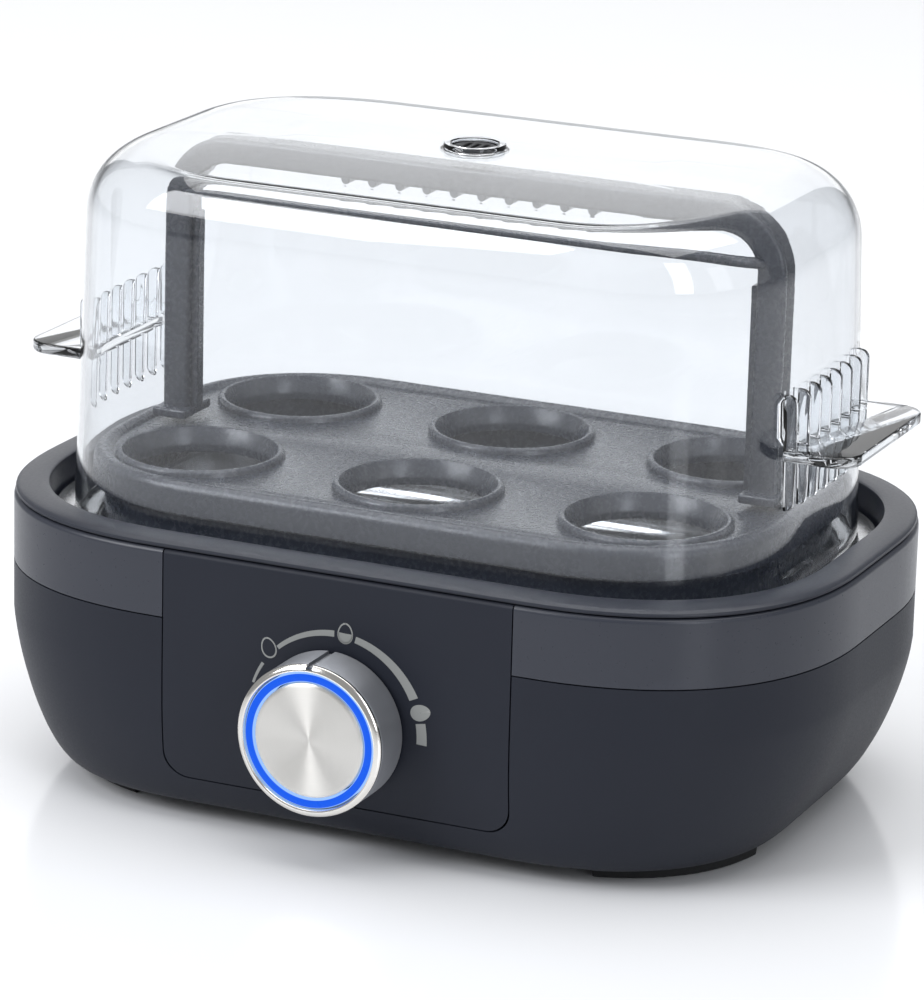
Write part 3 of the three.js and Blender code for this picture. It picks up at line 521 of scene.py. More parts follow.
def turned(name, profile, place, segments=96, notch=None):
    """A turned piece from (radius, height) pairs. notch is a top groove's half angle and depth."""
    angles = [2 * math.pi * i / segments for i in range(segments)]
    if notch:
        half, depth = notch
        top = math.pi / 2
        sides = [top - half * 1.02, top - half * 0.98, top + half * 0.98, top + half * 1.02]
        angles = sorted([a for a in angles if abs(a - top) > half * 1.2] + sides + [top])
    points = []
    for radius, height in profile:
        for angle in angles:
            grooved = notch and abs(angle - math.pi / 2) < notch[0] and radius > KNOB_R - 1
            reach = min(radius, KNOB_R - depth) if grooved else radius
            points.append(place(reach * math.cos(angle), reach * math.sin(angle), height))
    faces = strip_faces(len(profile), len(angles), wrap=True)
    if profile[0][0] > 0:
        last = (len(profile) - 1) * len(angles)
        count = len(angles)
        faces += [(last + i, last + (i + 1) % count, (i + 1) % count, i) for i in range(count)]
    return shape(name, points, faces)


def rounded_ring(inner, outer, low, high, edge, steps=3):
    """The profile of a ring of rectangular section with rounded edges."""
    corners = (
        (outer - edge, low + edge, -90), (outer - edge, high - edge, 0),
        (inner + edge, high - edge, 90), (inner + edge, low + edge, 180))
    profile = []
    for radius, height, start in corners:
        for step in range(steps + 1):
            angle = math.radians(start + 90 * step / steps)
            profile.append((radius + edge * math.cos(angle), height + edge * math.sin(angle)))
    return profile


def baked(piece, *modifiers, outwards=False):
    """Gives the piece modifiers, each a kind and its settings, and returns the plain mesh that they leave."""
    for kind, settings in modifiers:
        modifier = piece.modifiers.new(kind, kind)
        for key, value in settings.items():
            setattr(modifier, key, value)
    graph = bpy.context.evaluated_depsgraph_get()
    mesh = bpy.data.meshes.new_from_object(
        piece.evaluated_get(graph), preserve_all_data_layers=True, depsgraph=graph)
    name, matrix = piece.name, piece.matrix_world.copy()
    bpy.data.objects.remove(piece)
    mesh.transform(matrix)
    if outwards:
        tidy(mesh, True)
    return link(bpy.data.objects.new(name, mesh))


def eased(width, angle=40, segments=2):
    """Modifiers that round a piece's hard edges and keep its flat faces flat."""
    return (
        ("BEVEL", {"width": width, "segments": segments, "limit_method": "ANGLE",
                   "angle_limit": math.radians(angle), "use_clamp_overlap": True}),
        ("WEIGHTED_NORMAL", {"keep_sharp": True}))


def cut_by(piece, *tools, operation="DIFFERENCE"):
    """Takes tools out of the piece, or joins them to it."""
    settings = [("BOOLEAN", {"operation": operation, "solver": "EXACT", "object": tool}) for tool in tools]
    result = baked(piece, *settings)
    for tool in tools:
        bpy.data.objects.remove(tool)
    return result


def joined(piece, *others):
    """One object that holds several closed solids."""
    work = bmesh.new()
    for part in (piece, *others):
        work.from_mesh(part.data)
    work.to_mesh(piece.data)
    work.free()
    for part in others:
        bpy.data.objects.remove(part)
    piece.data.shade_smooth()
    return piece


def sharpened(piece, angle=32):
    """Keeps edges that turn more than this sharp in the shading."""
    piece.data.shade_smooth()
    piece.data.set_sharp_from_angle(angle=math.radians(angle))
    return piece


def plate(name, outlines, low, high, edge):
    """A flat plate with rounded edges from closed plan outlines: its edge, then its holes."""
    curve = bpy.data.curves.new(name, "CURVE")
    curve.dimensions = "2D"
    curve.fill_mode = "BOTH"
    curve.extrude = (high - low) / 2 - edge
    curve.bevel_depth = edge
    curve.bevel_resolution = 2
    curve.offset = -edge
    for points in outlines:
        spline = curve.splines.new("POLY")
        spline.points.add(len(points) - 1)
        spline.points.foreach_set("co", [c for x, y, *_ in points for c in (x, y, 0, 1)])
        spline.use_cyclic_u = True
    piece = link(bpy.data.objects.new(name, curve))
    piece.location.z = (low + high) / 2
    bpy.context.view_layer.update()
    return baked(piece, outwards=True)


def tube_along(name, points, radius):
    """A round rod that passes smoothly through its points, with closed ends."""
    curve = bpy.data.curves.new(name, "CURVE")
    curve.dimensions = "3D"
    curve.bevel_depth = radius
    curve.bevel_resolution = 6
    curve.resolution_u = 16
    curve.use_fill_caps = True
    spline = curve.splines.new("BEZIER")
    spline.bezier_points.add(len(points) - 1)
    for knot, point in zip(spline.bezier_points, points):
        knot.co = point
        knot.handle_left_type = knot.handle_right_type = "AUTO"
    return baked(link(bpy.data.objects.new(name, curve)), outwards=True)


def block(name, low, high, edge):
    """A block with rounded edges."""
    (x0, y0, z0), (x1, y1, z1) = low, high
    points = [(x, y, z) for z in (z0, z1) for y in (y0, y1) for x in (x0, x1)]
    faces = [(0, 2, 3, 1), (4, 5, 7, 6), (0, 1, 5, 4), (1, 3, 7, 5), (3, 2, 6, 7), (2, 0, 4, 6)]
    return baked(shape(name, points, faces), *eased(edge, segments=3))


PLACE = Matrix.Translation((0, AXIS_Y * MM, 0)) @ Matrix.Scale(MM, 4)


def fit(piece, body, slot, *nodes, material=None):
    """Places a finished piece in the frame, with its finish, its body and the nodes that it stands for."""
    piece.data.transform(PLACE)
    piece.data.materials.clear()
    piece.data.materials.append(material_for(material or slot))
    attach(piece, body)
    if nodes:
        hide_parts(*nodes)
    return piece


# ------------------------------------------------------------------ the base's skin
def drawn_in(z, most, power):
    """How far the skin has drawn in at a height: a quarter of a superellipse down to the lower edge."""
    down = min(1.0, max(0.0, (TAPER_TOP - z) / (TAPER_TOP - HOUSING_LOW.z)))
    return most * (1 - (1 - down ** power) ** (1 / power))


def lip(z):
    """The rounding along the upper edge of the band and panel."""
    over = z - (BAND_HIGH.z - LIP)
    return LIP - math.sqrt(max(0.0, LIP ** 2 - over ** 2)) if over > 0 else 0.0


def skin_at(z):
    """The skin's outline at a height."""
    end, front = drawn_in(z, *END_TAPER) + lip(z), drawn_in(z, *FRONT_TAPER) + lip(z)
    return Outline(BODY.half_x - end, BODY.half_y - front, BODY.corner - (end + front) / 2)


def front_y(x, z):
    """Where the skin's front face stands."""
    base = skin_at(z)
    across = max(0.0, abs(x) - (base.half_x - base.corner)) / base.corner
    return -(base.half_y - base.corner + base.corner * (1 - across ** SQUARENESS) ** (1 / SQUARENESS))


def around(z, start):
    """The skin's points at a height, anticlockwise from x = start at the front round to x = -start."""
    base = skin_at(z)
    share = max(0.0, (start - (base.half_x - base.corner)) / base.corner)
    first = math.acos(min(1.0, share ** (SQUARENESS / 2)))
    sweeps = ((1, -1, first, 0), (1, 1, 0, math.pi / 2), (-1, 1, math.pi / 2, 0), (-1, -1, 0, first))
    points = [(start, front_y(start, z), z)]
    for sign_x, sign_y, begin, end in sweeps:
        for step in range(CORNER_STEPS + 1):
            angle = begin + (end - begin) * step / CORNER_STEPS
            x = base.half_x - base.corner + base.corner * max(0.0, math.cos(angle)) ** (2 / SQUARENESS)
            y = base.half_y - base.corner + base.corner * max(0.0, math.sin(angle)) ** (2 / SQUARENESS)
            points.append((sign_x * x, sign_y * y, z))
    points.append((-start, front_y(start, z), z))
    return points


SKIN_ROWS = 26
APRON_HALF = 56  # the front part of the housing, round the panel's opening, reaches this far to each side
APRON_STEPS = 9
UNDER_STEPS = 24


def housing_heights():
    """Heights of the housing's rows, closer together towards the curved lower edge."""
    rise = TAPER_TOP - HOUSING_LOW.z
    heights = [HOUSING_LOW.z + rise * (i / SKIN_ROWS) ** 1.7 for i in range(SKIN_ROWS + 1)]
    return [*heights, 40.0, HOUSING_HIGH.z]


def slot_edge(heights):
    """Pairs of places across the apron, in x and z: on the opening's edge and on the apron's own."""
    centre_x, centre_z = SLOT_HALF - PANEL_CORNER, SLOT_LOW + PANEL_CORNER

    def on_corner(degrees):
        angle = math.radians(degrees)
        return centre_x + PANEL_CORNER * math.cos(angle), centre_z - PANEL_CORNER * math.sin(angle)

    pairs = []
    for z in reversed(heights):
        share = (z - HOUSING_LOW.z) / (centre_z - HOUSING_LOW.z)
        inner = (SLOT_HALF, z) if share >= 1 else on_corner(45 * (1 - share))
        pairs.append((inner, (APRON_HALF, z)))
    for step in range(1, UNDER_STEPS + 1):
        share = step / UNDER_STEPS
        turn, along = min(1.0, share / 0.3), max(0.0, (share - 0.3) / 0.7)
        inner = on_corner(45 + 45 * turn) if along == 0 else (centre_x * (1 - along), SLOT_LOW)
        pairs.append((inner, (APRON_HALF * (1 - share), HOUSING_LOW.z)))
    mirrored = [((-a[0], a[1]), (-b[0], b[1])) for a, b in reversed(pairs[:-1])]
    return pairs + mirrored


def housing_sheet():
    """The housing's outer face, open at the top, at the bottom and where the panel goes."""
    heights = housing_heights()
    points = [point for z in heights for point in around(z, APRON_HALF)]
    columns = len(around(heights[0], APRON_HALF))
    faces = strip_faces(len(heights), columns)
    first = len(points)
    for inner, outer in slot_edge(heights):
        for step in range(APRON_STEPS + 1):
            share = (step / APRON_STEPS) ** 0.8
            x, z = (a + (b - a) * share for a, b in zip(inner, outer))
            points.append((x, front_y(x, z), z))
    width = APRON_STEPS + 1
    apron = strip_faces((len(points) - first) // width, width, first)
    faces += [tuple(reversed(face)) for face in apron]
    return shape("shell_housing", points, faces, outwards=False)


def lipped_heights(low, high, rows):
    """Heights up a wall that ends in the rounded lip."""
    start = high - LIP
    straight = [low + (start - low) * i / rows for i in range(rows + 1)]
    return straight + [start + LIP * math.sin(math.radians(angle)) for angle in (20, 40, 58, 75)]


def wall_modifiers(edge):
    """Modifiers that give a sheet its wall and ease its edges."""
    solid = ("SOLIDIFY", {
        "thickness": WALL, "offset": -1, "use_even_offset": True, "use_quality_normals": True})
    return (solid, *eased(edge, 50))


def panel_sheet():
    """The front panel's outer face, with rounded lower corners."""
    corner = PANEL_CORNER
    low = [(PANEL_LOW.z + corner * (1 - math.cos(math.radians(a))), math.radians(a)) for a in range(0, 90, 10)]
    rows = [(z, PANEL_HALF - corner + corner * math.sin(a)) for z, a in low]
    rows += [(z, PANEL_HALF) for z in lipped_heights(PANEL_LOW.z + corner, PANEL_HIGH.z, 14)]
    shares = [-1 + i / 12 for i in range(25)]
    points = [(s * half, front_y(s * half, z), z) for z, half in rows for s in shares]
    return shape("front_panel_face", points, strip_faces(len(rows), len(shares)), outwards=False)


def rod_tool(radius, x, low, high):
    """A rod along the control's direction, for boring a hole."""
    return turned("tool", [(0, low), (radius, low), (radius, high), (0, high)],
                  lambda across, up, along: on_control(across + x, up, along), 48)


# ------------------------------------------------------------------ operators
class PieceOperator:
    """What the operators share: each calls its build method and says so."""

    bl_options = {"REGISTER"}

    def execute(self, context):
        """Builds this operator's pieces."""
        self.build(context.scene.egg_cooker_sizes)
        return {"FINISHED"}


class BuildHousing(PieceOperator, bpy.types.Operator):
    """Build the tapered housing, its band and the front panel."""

    bl_idname = "egg_cooker.housing"
    bl_label = "Housing and band"

    def build(self, sizes):
        """The three mouldings of the base's skin."""
        edge = sizes.edge / MM
        housing = baked(housing_sheet(), *wall_modifiers(edge))
        hole = turned("tool", [(0, 50), (6.3, 50), (6.3, 80), (0, 80)], on_gland, 64)
        fit(sharpened(cut_by(housing, hole)), "base", "body_plastic", "base_housing")
        heights = lipped_heights(BAND_LOW.z, BAND_HIGH.z, 5)
        points = [point for z in heights for point in around(z, SLOT_HALF)]
        columns = len(points) // len(heights)
        band = shape("shell_band", points, strip_faces(len(heights), columns), outwards=False)
        fit(baked(band, *wall_modifiers(edge * 0.8)), "base", "band_plastic", "trim_band")
        panel = baked(panel_sheet(), *wall_modifiers(edge))
        holes = [rod_tool(r, x, FACE_Y - 5, FACE_Y + 10) for r, x in ((4.7, 0), (2.8, -LED_X), (2.8, LED_X))]
        fit(sharpened(cut_by(panel, *holes)), "base", "body_plastic", "front_panel")


class BuildRim(PieceOperator, bpy.types.Operator):
    """Build the upper frame with its rim, well wall and ledge, and the gasket on the ledge."""

    bl_idname = "egg_cooker.rim"
    bl_label = "Rim and gasket"

    def build(self, sizes):
        """The ring that the bowl hangs in."""
        top, ledge = RIM_TOP, 54.6
        profile = (
            (2.8, 47), (2.8, 61.2), (0.6, 61.4), (0.35, 61.75), (0.45, 62.2), (0.9, 62.55), (1.6, 62.8),
            (3, 63), (5, top), (6.9, top), (7.3, 62.8), (7.5, 62.2), (7.9, ledge), (13.4, ledge),
            (13.4, 52.6), (5.2, 52.6), (5.2, 47))
        frame_ring = loft("upper_rim", [ring(BODY, z, inset) for inset, z in profile], closed=True)
        frame_ring = baked(frame_ring, *eased(0.25, 50))
        posts = []
        for x, y in CORNERS:
            bore = rounded_ring(1.6, 2.7, 7.5, 53, 0.2)
            posts.append(turned("tool", bore, upright_at(x * BOSS_X, y * BOSS_Y), 32))
        fit(sharpened(joined(frame_ring, *posts)), "base", "rim_plastic", "upper_frame")
        low, high = ledge + GAP, BOWL_HIGH.z - 0.8 - GAP
        middle = (low + high) / 2
        section = ((9.6, low), (9.3, middle), (9.6, high), (10.6, high - 0.2), (11.6, high), (12.6, high),
                   (12.8, middle), (12.6, low))
        gasket = loft("flange_gasket", [ring(BODY, z, inset) for inset, z in section], closed=True)
        fit(gasket, "base", "silicone", "bowl_gasket")


CORNERS = ((1, 1), (-1, 1), (-1, -1), (1, -1))
BOSS_X = (SCREW_LOW.x + SCREW_HIGH.x) / 2
BOSS_Y = (SCREW_LOW.y + SCREW_HIGH.y) / 2 - AXIS_Y


class BuildUnderside(PieceOperator, bpy.types.Operator):
    """Build the base plate, its screws, the four feet and the cord gland."""

    bl_idname = "egg_cooker.underside"
    bl_label = "Underside"

    def build(self, sizes):
        """What the cooker stands on."""
        low, high = PLATE_LOW.z, 7.2
        base = skin_at(low)
        edge = ring(base, low, WALL + GAP)
        rim = [ring(base, z, WALL + GAP + inset) for inset, z in (
            (0, low), (0, high), (1.6, high), (1.6, high + 2.5), (3.2, high + 2.5), (3.2, low))]
        lip_ring = loft("tool", rim, closed=True)
        holes = [circle_points(1.6, x * BOSS_X, y * BOSS_Y) for x, y in CORNERS]
        sheet = plate("under_plate", [edge, *holes], low, high, 0.25)
        tip, pillar_x, pillar_y = PLATE_HIGH.z, 54, 20
        pillar = [(0, high - 1), (2.5, high - 1), (2.5, tip - 0.3), (2.2, tip), (0, tip)]
        pillars = [turned("tool", pillar, upright_at(x * pillar_x, y * pillar_y), 32) for x, y in CORNERS]
        fit(sharpened(joined(sheet, lip_ring, *pillars)), "base", "black_plastic", "base_plate")
        for number, (x, y) in enumerate(CORNERS, 1):
            fit(self.foot(number, x, y), "base", "rubber", f"foot_{number}")
        screws = with_nodes(self.screw(), repeated_in_grid(), {
            "Columns": 2, "Rows": 2, "Length": 2 * BOSS_X, "Depth": 2 * BOSS_Y,
            "Material": material_for("screw_steel")})
        fit(screws, "base", "screw_steel", *(f"base_screw_{i}" for i in range(1, 5)))
        start, face, end = GLAND_LOW.y - AXIS_Y, BODY.half_y, GLAND_HIGH.y - AXIS_Y
        profile = [(6, start), (6, face + 0.4), (7.2, face + 0.4), (7.2, face + 0.9), (6.9, face + 1.3),
                   (5.9, end - 0.3), (5.5, end), (3.8, end), (3.4, end - 0.4), (3.4, start)]
        fit(sharpened(turned("cord_bush", profile, on_gland, 64)), "base", "rubber", "cord_gland")

    @staticmethod
    def foot(number, sign_x, sign_y):
        """One corner foot: a stretch of a low ring that follows the body's corner, hollow under the screw."""
        top, steps, rows = FOOT_TOP, 26, []
        for inset, lift in ((16.4, 0.0), (15.6, 0.5), (15.2, top), (25, top), (25, 0.5), (24.4, 0.0)):
            outline = Outline(BODY.half_x - inset, BODY.half_y - inset + 3, BODY.corner - inset + 1.5)
            row = []
            for step in range(steps + 1):
                angle = math.radians(12 + 66 * step / steps)
                x = outline.half_x - outline.corner + outline.corner * math.cos(angle) ** (2 / SQUARENESS)
                y = outline.half_y - outline.corner + outline.corner * math.sin(angle) ** (2 / SQUARENESS)
                row.append((sign_x * x, sign_y * y, lift))
            rows.append(row)
        points = [point for row in rows for point in row]
        width = steps + 1
        faces = strip_faces(len(rows), width)
        last = (len(rows) - 1) * width
        faces += [(last + i, last + i + 1, i + 1, i) for i in range(steps)]
        faces += [tuple(width * r for r in range(len(rows))),
                  tuple(width * r + steps for r in reversed(range(len(rows))))]
        foot = baked(shape(f"rubber_foot_{number}", points, faces), *eased(0.4, 50))
        tool = turned("tool", [(0, -1), (3.6, -1), (3.6, top + 1), (0, top + 1)],
                      upright_at(sign_x * BOSS_X, sign_y * BOSS_Y), 48)
        return sharpened(cut_by(foot, tool))

    @staticmethod
    def screw():
        """A pan-head screw, head down, with a cross cut in its head."""
        low, high = SCREW_LOW.z, SCREW_HIGH.z
        profile = [(0, low), (1.6, low), (2.1, low + 0.2), (2.4, low + 0.6), (2.4, low + 1.2), (1.3, low + 1.2),
                   (1.3, high - 1), (0, high)]
        screw = turned("base_screws", profile, upright_at(0, 0), 40)
        arms = [block("tool", (-a, -b, low - 0.5), (a, b, low + 0.7), 0.1) for a, b in ((1.3, 0.3), (0.3, 1.3))]
        return sharpened(cut_by(screw, *arms))


def circle_points(radius, x, y, count=40):
    """A circle in plan."""
    turns = [2 * math.pi * i / count for i in range(count)]
    return [(x + radius * math.cos(a), y + radius * math.sin(a)) for a in turns]


# ------------------------------------------------------------------ geometry nodes
def geometry_tree(name, inputs):
    """A geometry node tree with a geometry input and output and these named inputs."""
    tree = bpy.data.node_groups.new(name, "GeometryNodeTree")
    tree.interface.new_socket("Geometry", in_out="INPUT", socket_type="NodeSocketGeometry")
    for key, kind in inputs.items():
        tree.interface.new_socket(key, in_out="INPUT", socket_type=f"NodeSocket{kind}")
    tree.interface.new_socket("Geometry", in_out="OUTPUT", socket_type="NodeSocketGeometry")
    return tree, node(tree, "NodeGroupInput").outputs


def end_tree(tree, geometry, material):
    """Realizes the instances, sets their material and ends the tree."""
    real = node(tree, "GeometryNodeRealizeInstances", None, {0: geometry})
    named = node(tree, "GeometryNodeSetMaterial", None, {"Geometry": real, "Material": material})
    node(tree, "NodeGroupOutput", None, {0: named})
    return tree


def repeated_in_grid():
    """A tree that sets copies of its geometry out in a level grid about the middle."""
    tree, given = geometry_tree("Repeat in a grid", {
        "Columns": "Int", "Rows": "Int", "Length": "Float", "Depth": "Float", "Material": "Material"})
    grid = node(tree, "GeometryNodeMeshGrid", None, {
        "Size X": given["Length"], "Size Y": given["Depth"],
        "Vertices X": given["Columns"], "Vertices Y": given["Rows"]})
    copies = node(tree, "GeometryNodeInstanceOnPoints", None, {"Points": grid, "Instance": given["Geometry"]})
    return end_tree(tree, copies, given["Material"])


def repeated_in_row():
    """A tree that sets copies of its geometry out in a row along X from a start."""
    tree, given = geometry_tree("Repeat in a row", {
        "Count": "Int", "Start": "Float", "Pitch": "Float", "Material": "Material"})
    start = node(tree, "ShaderNodeCombineXYZ", None, {"X": given["Start"]})
    step = node(tree, "ShaderNodeCombineXYZ", None, {"X": given["Pitch"]})
    line = node(tree, "GeometryNodeMeshLine", None, {
        "Count": given["Count"], "Start Location": start, "Offset": step})
    copies = node(tree, "GeometryNodeInstanceOnPoints", None, {"Points": line, "Instance": given["Geometry"]})
    return end_tree(tree, copies, given["Material"])


def comb_on_wall():
    """A tree that stands copies of a blade along the lid's end wall, whose plan is a superellipse corner."""
    tree, given = geometry_tree("Comb on a wall", {
        "Count": "Int", "Start": "Float", "Pitch": "Float", "Half length": "Float", "Half depth": "Float",
        "Corner": "Float", "Squareness": "Float", "Material": "Material"})
    start = node(tree, "ShaderNodeCombineXYZ", None, {"Y": given["Start"]})
    step = node(tree, "ShaderNodeCombineXYZ", None, {"Y": given["Pitch"]})
    line = node(tree, "GeometryNodeMeshLine", None, {
        "Count": given["Count"], "Start Location": start, "Offset": step})
    place = node(tree, "ShaderNodeSeparateXYZ", None, {0: node(tree, "GeometryNodeInputPosition")})
    # The wall stands at its middle plus corner * (1 - (past / corner) ** squareness) ** (1 / squareness).
    found = {"place": place.outputs["Y"], **{key: given[key] for key in (
        "Half length", "Half depth", "Corner", "Squareness")}}
    for result, operation, first, second in (
            ("side", "ABSOLUTE", "place", 0.0),
            ("flat", "SUBTRACT", "Half depth", "Corner"),
            ("beyond", "SUBTRACT", "side", "flat"),
            ("past", "MAXIMUM", "beyond", 0.0),
            ("share", "DIVIDE", "past", "Corner"),
            ("lost", "POWER", "share", "Squareness"),
            ("kept", "SUBTRACT", 1.0, "lost"),
            ("root", "DIVIDE", 1.0, "Squareness"),
            ("reach", "POWER", "kept", "root"),
            ("bulge", "MULTIPLY", "Corner", "reach"),
            ("middle", "SUBTRACT", "Half length", "Corner"),
            ("wall", "ADD", "middle", "bulge")):
        found[result] = node(tree, "ShaderNodeMath", {"operation": operation}, {
            0: found.get(first, first), 1: found.get(second, second)})
    offset = node(tree, "ShaderNodeCombineXYZ", None, {"X": found["wall"]})
    moved = node(tree, "GeometryNodeSetPosition", None, {"Geometry": line, "Offset": offset})
    copies = node(tree, "GeometryNodeInstanceOnPoints", None, {"Points": moved, "Instance": given["Geometry"]})
    return end_tree(tree, copies, given["Material"])


def row_start(count, pitch):
    """Where a row of this many begins when its middle is at nought."""
    return -(count - 1) / 2 * pitch


def with_nodes(piece, tree, values):
    """Runs a geometry node tree on the piece with these input values and returns the plain mesh."""
    modifier = piece.modifiers.new(tree.name, "NODES")
    modifier.node_group = tree
    sockets = {item.name: item.identifier for item in tree.interface.items_tree if item.in_out == "INPUT"}
    for key, value in values.items():
        modifier[sockets[key]] = value
    return sharpened(baked(piece))


# ------------------------------------------------------------------ bowl, rack and lid
class BuildBowl(PieceOperator, bpy.types.Operator):
    """Build the pressed steel water bowl."""

    bl_idname = "egg_cooker.bowl"
    bl_label = "Water bowl"

    def build(self, sizes):
        """A shallow pan whose flange rests on the gasket."""
        floor, under, top = 43, BOWL_LOW.z, BOWL_HIGH.z
        outside = ((9, 0), (7, 0), (5.2, 0.15), (3.4, 0.7), (2.1, 1.6), (1.3, 3), (0.9, 5), (0, 11.6),
                   (-0.8, 13.2))
        inside = ((0, 13.4), (0.8, 11.8), (1.7, 5), (2.1, 3.2), (2.9, 1.7), (4.2, 0.7), (5.8, 0.15), (7.4, 0))
        plateau = ((16, 0), (17, 0.15), (18, 0.5), (19, 0.6), (24, 0.6))
        rings = [ring(BOWL, under + rise, inset) for inset, rise in outside]
        rings += [ring(BOWL, top - 0.8, -1.6), ring(FLANGE, top - 0.8, 0.1), ring(FLANGE, top - 0.4, 0),
                  ring(FLANGE, top, 0.1), ring(BOWL, top, -1.2)]
        rings += [ring(BOWL, floor + rise, inset) for inset, rise in (*inside, *plateau)]
        fit(sharpened(loft("steel_bowl", rings), 40), "base", "bowl_steel", "water_bowl")


class BuildRack(PieceOperator, bpy.types.Operator):
    """Build the egg tray with its six seats, and the carrying handle."""

    bl_idname = "egg_cooker.rack"
    bl_label = "Egg rack"

    def build(self, sizes):
        """The lift-out part that the eggs stand in."""
        pitch_x, pitch_y = sizes.seat_pitch_x / MM, sizes.seat_pitch_y / MM
        low, top = TRAY_LOW.z, TRAY_HIGH.z - 0.4
        skirt = ((2.6, low), (2.6, 63.6), (2.3, 64), (0.3, 64), (0, 64.3), (0.25, 69), (0.5, 69.9), (1, 70.55),
                 (1.7, 70.9), (2.4, top), (3.2, top - 0.1), (4.1, top - 0.7), (4.4, top - 1.1), (4.4, low))
        wall = sharpened(loft("tool", [ring(TRAY, z, inset) for inset, z in skirt], closed=True), 50)
        centres = [(c * pitch_x, r * pitch_y / 2) for c in (-1, 0, 1) for r in (-1, 1)]
        holes = [circle_points(17.2, x, y, 96) for x, y in centres]
        pan = plate("egg_tray_pan", [ring(TRAY, 0, 4.3), *holes], 67.8, 70, 0.2)
        fit(sharpened(joined(pan, wall)), "rack", "rack_plastic", "egg_tray")
        cup = [(18.4, 66.2), (18.4, 70.6), (18.1, 71.1), (17.6, 71.4), (17, 71.3), (16.7, 70.9), (15.5, 68),
               (15.4, 67.5), (15.4, 66.2), (15.6, 66), (18.2, 66)]
        seat = turned("egg_seats", cup, upright_at(0, 0), 96)
        fit(with_nodes(seat, repeated_in_grid(), {
            "Columns": 3, "Rows": 2, "Length": 2 * pitch_x, "Depth": pitch_y,
            "Material": material_for("rack_plastic")}), "rack", "rack_plastic")
        self.handle(sizes)

    @staticmethod
    def handle(sizes):
        """An arch bar on two channelled posts, with finger ribs under it and a thin rail in front."""
        low, top, half = HANDLE_LOW.z, HANDLE_HIGH.z, 72.6
        bend, post, bar, depth = 15, 6.3, 5.2, 3.4  # outer bend, thickness of post and bar, half their depth
        corner_x, corner_z = half - bend, top - bend
        stations = [((half, z), (1, 0), post, 1.0) for z in (low, low + 6, low + 22, corner_z - 4, corner_z)]
        for step in range(1, 13):
            share = step / 12
            angle = share * math.pi / 2
            way = (math.cos(angle), math.sin(angle))
            spot = (corner_x + bend * way[0], corner_z + bend * way[1])
            stations.append((spot, way, post + (bar - post) * share, 1 - share))
        stations.append(((0, top), (0, 1), bar, 0.0))
        mirrored = [((-spot[0], spot[1]), (-way[0], way[1]), *rest)
                    for spot, way, *rest in reversed(stations[:-1])]
        rows = []
        for (x, z), (way_x, way_z), thick, channel in stations + mirrored:
            rows.append([(x - way_x * down, side, z - way_z * down)
                         for down, side in bar_section(thick, depth, channel)])
        width = len(rows[0])
        points = [point for row in rows for point in row]
        faces = strip_faces(len(rows), width, wrap=True)
        faces += [tuple(range(width)), tuple(reversed(range(len(points) - width, len(points))))]
        arch = shape("carry_handle_arch", points, faces)
        inner, rail_z, reach = half - post / 2, 124, -9.75
        one_half = [(inner, 0, rail_z - 2), (inner - 5, reach * 0.55, rail_z - 1),
                    (inner - 14, reach * 0.9, rail_z), (inner / 2, reach, rail_z)]
        route = one_half + [(0, reach, rail_z)] + [(-x, y, z) for x, y, z in reversed(one_half)]
        extras = [tube_along("tool", route, 1.25)]
        for side in (-1, 1):
            x = side * inner
            extras.append(block("tool", (x - 4.2, -6.5, low), (x + 4.2, 6.5, low + 2), 0.5))
            web = sorted((side * (half - post - 1.7), side * (half - post + 0.4)))
            extras.append(block("tool", (web[0], -1.5, low + 1.5), (web[1], 1.5, 117), 0.35))
        fit(sharpened(joined(arch, *extras), 38), "rack", "rack_plastic", "carry_handle")
        rib = turned("grip_ribs", [(0, -3.2), (0.8, -3.2), (1.05, -2.9), (1.05, 2.9), (0.8, 3.2), (0, 3.2)],
                     lambda across, up, along: (across, along, top - bar + up), 24)
        count, pitch = sizes.rib_count, sizes.rib_pitch / MM
        fit(with_nodes(rib, repeated_in_row(), {
            "Count": count, "Start": row_start(count, pitch), "Pitch": pitch,
            "Material": material_for("rack_plastic")}), "rack", "rack_plastic")


def bar_section(thick, half_depth, channel):
    """The handle's section as (depth below its outer face, side), with a channel let into the outer face."""
    edge, steps = 0.9, 4
    sink = 1.3 * channel
    points = [(0, -2.1), (sink, -1.7), (sink, 1.7), (0, 2.1)]
    corners = ((edge, half_depth - edge, 180, -1), (thick - edge, half_depth - edge, 90, -1),
               (thick - edge, edge - half_depth, 0, -1), (edge, edge - half_depth, -90, -1))
    for down, side, start, way in corners:
        for step in range(steps + 1):
            angle = math.radians(start + way * 90 * step / steps)
            points.append((down + edge * math.cos(angle), side + edge * math.sin(angle)))
    return points


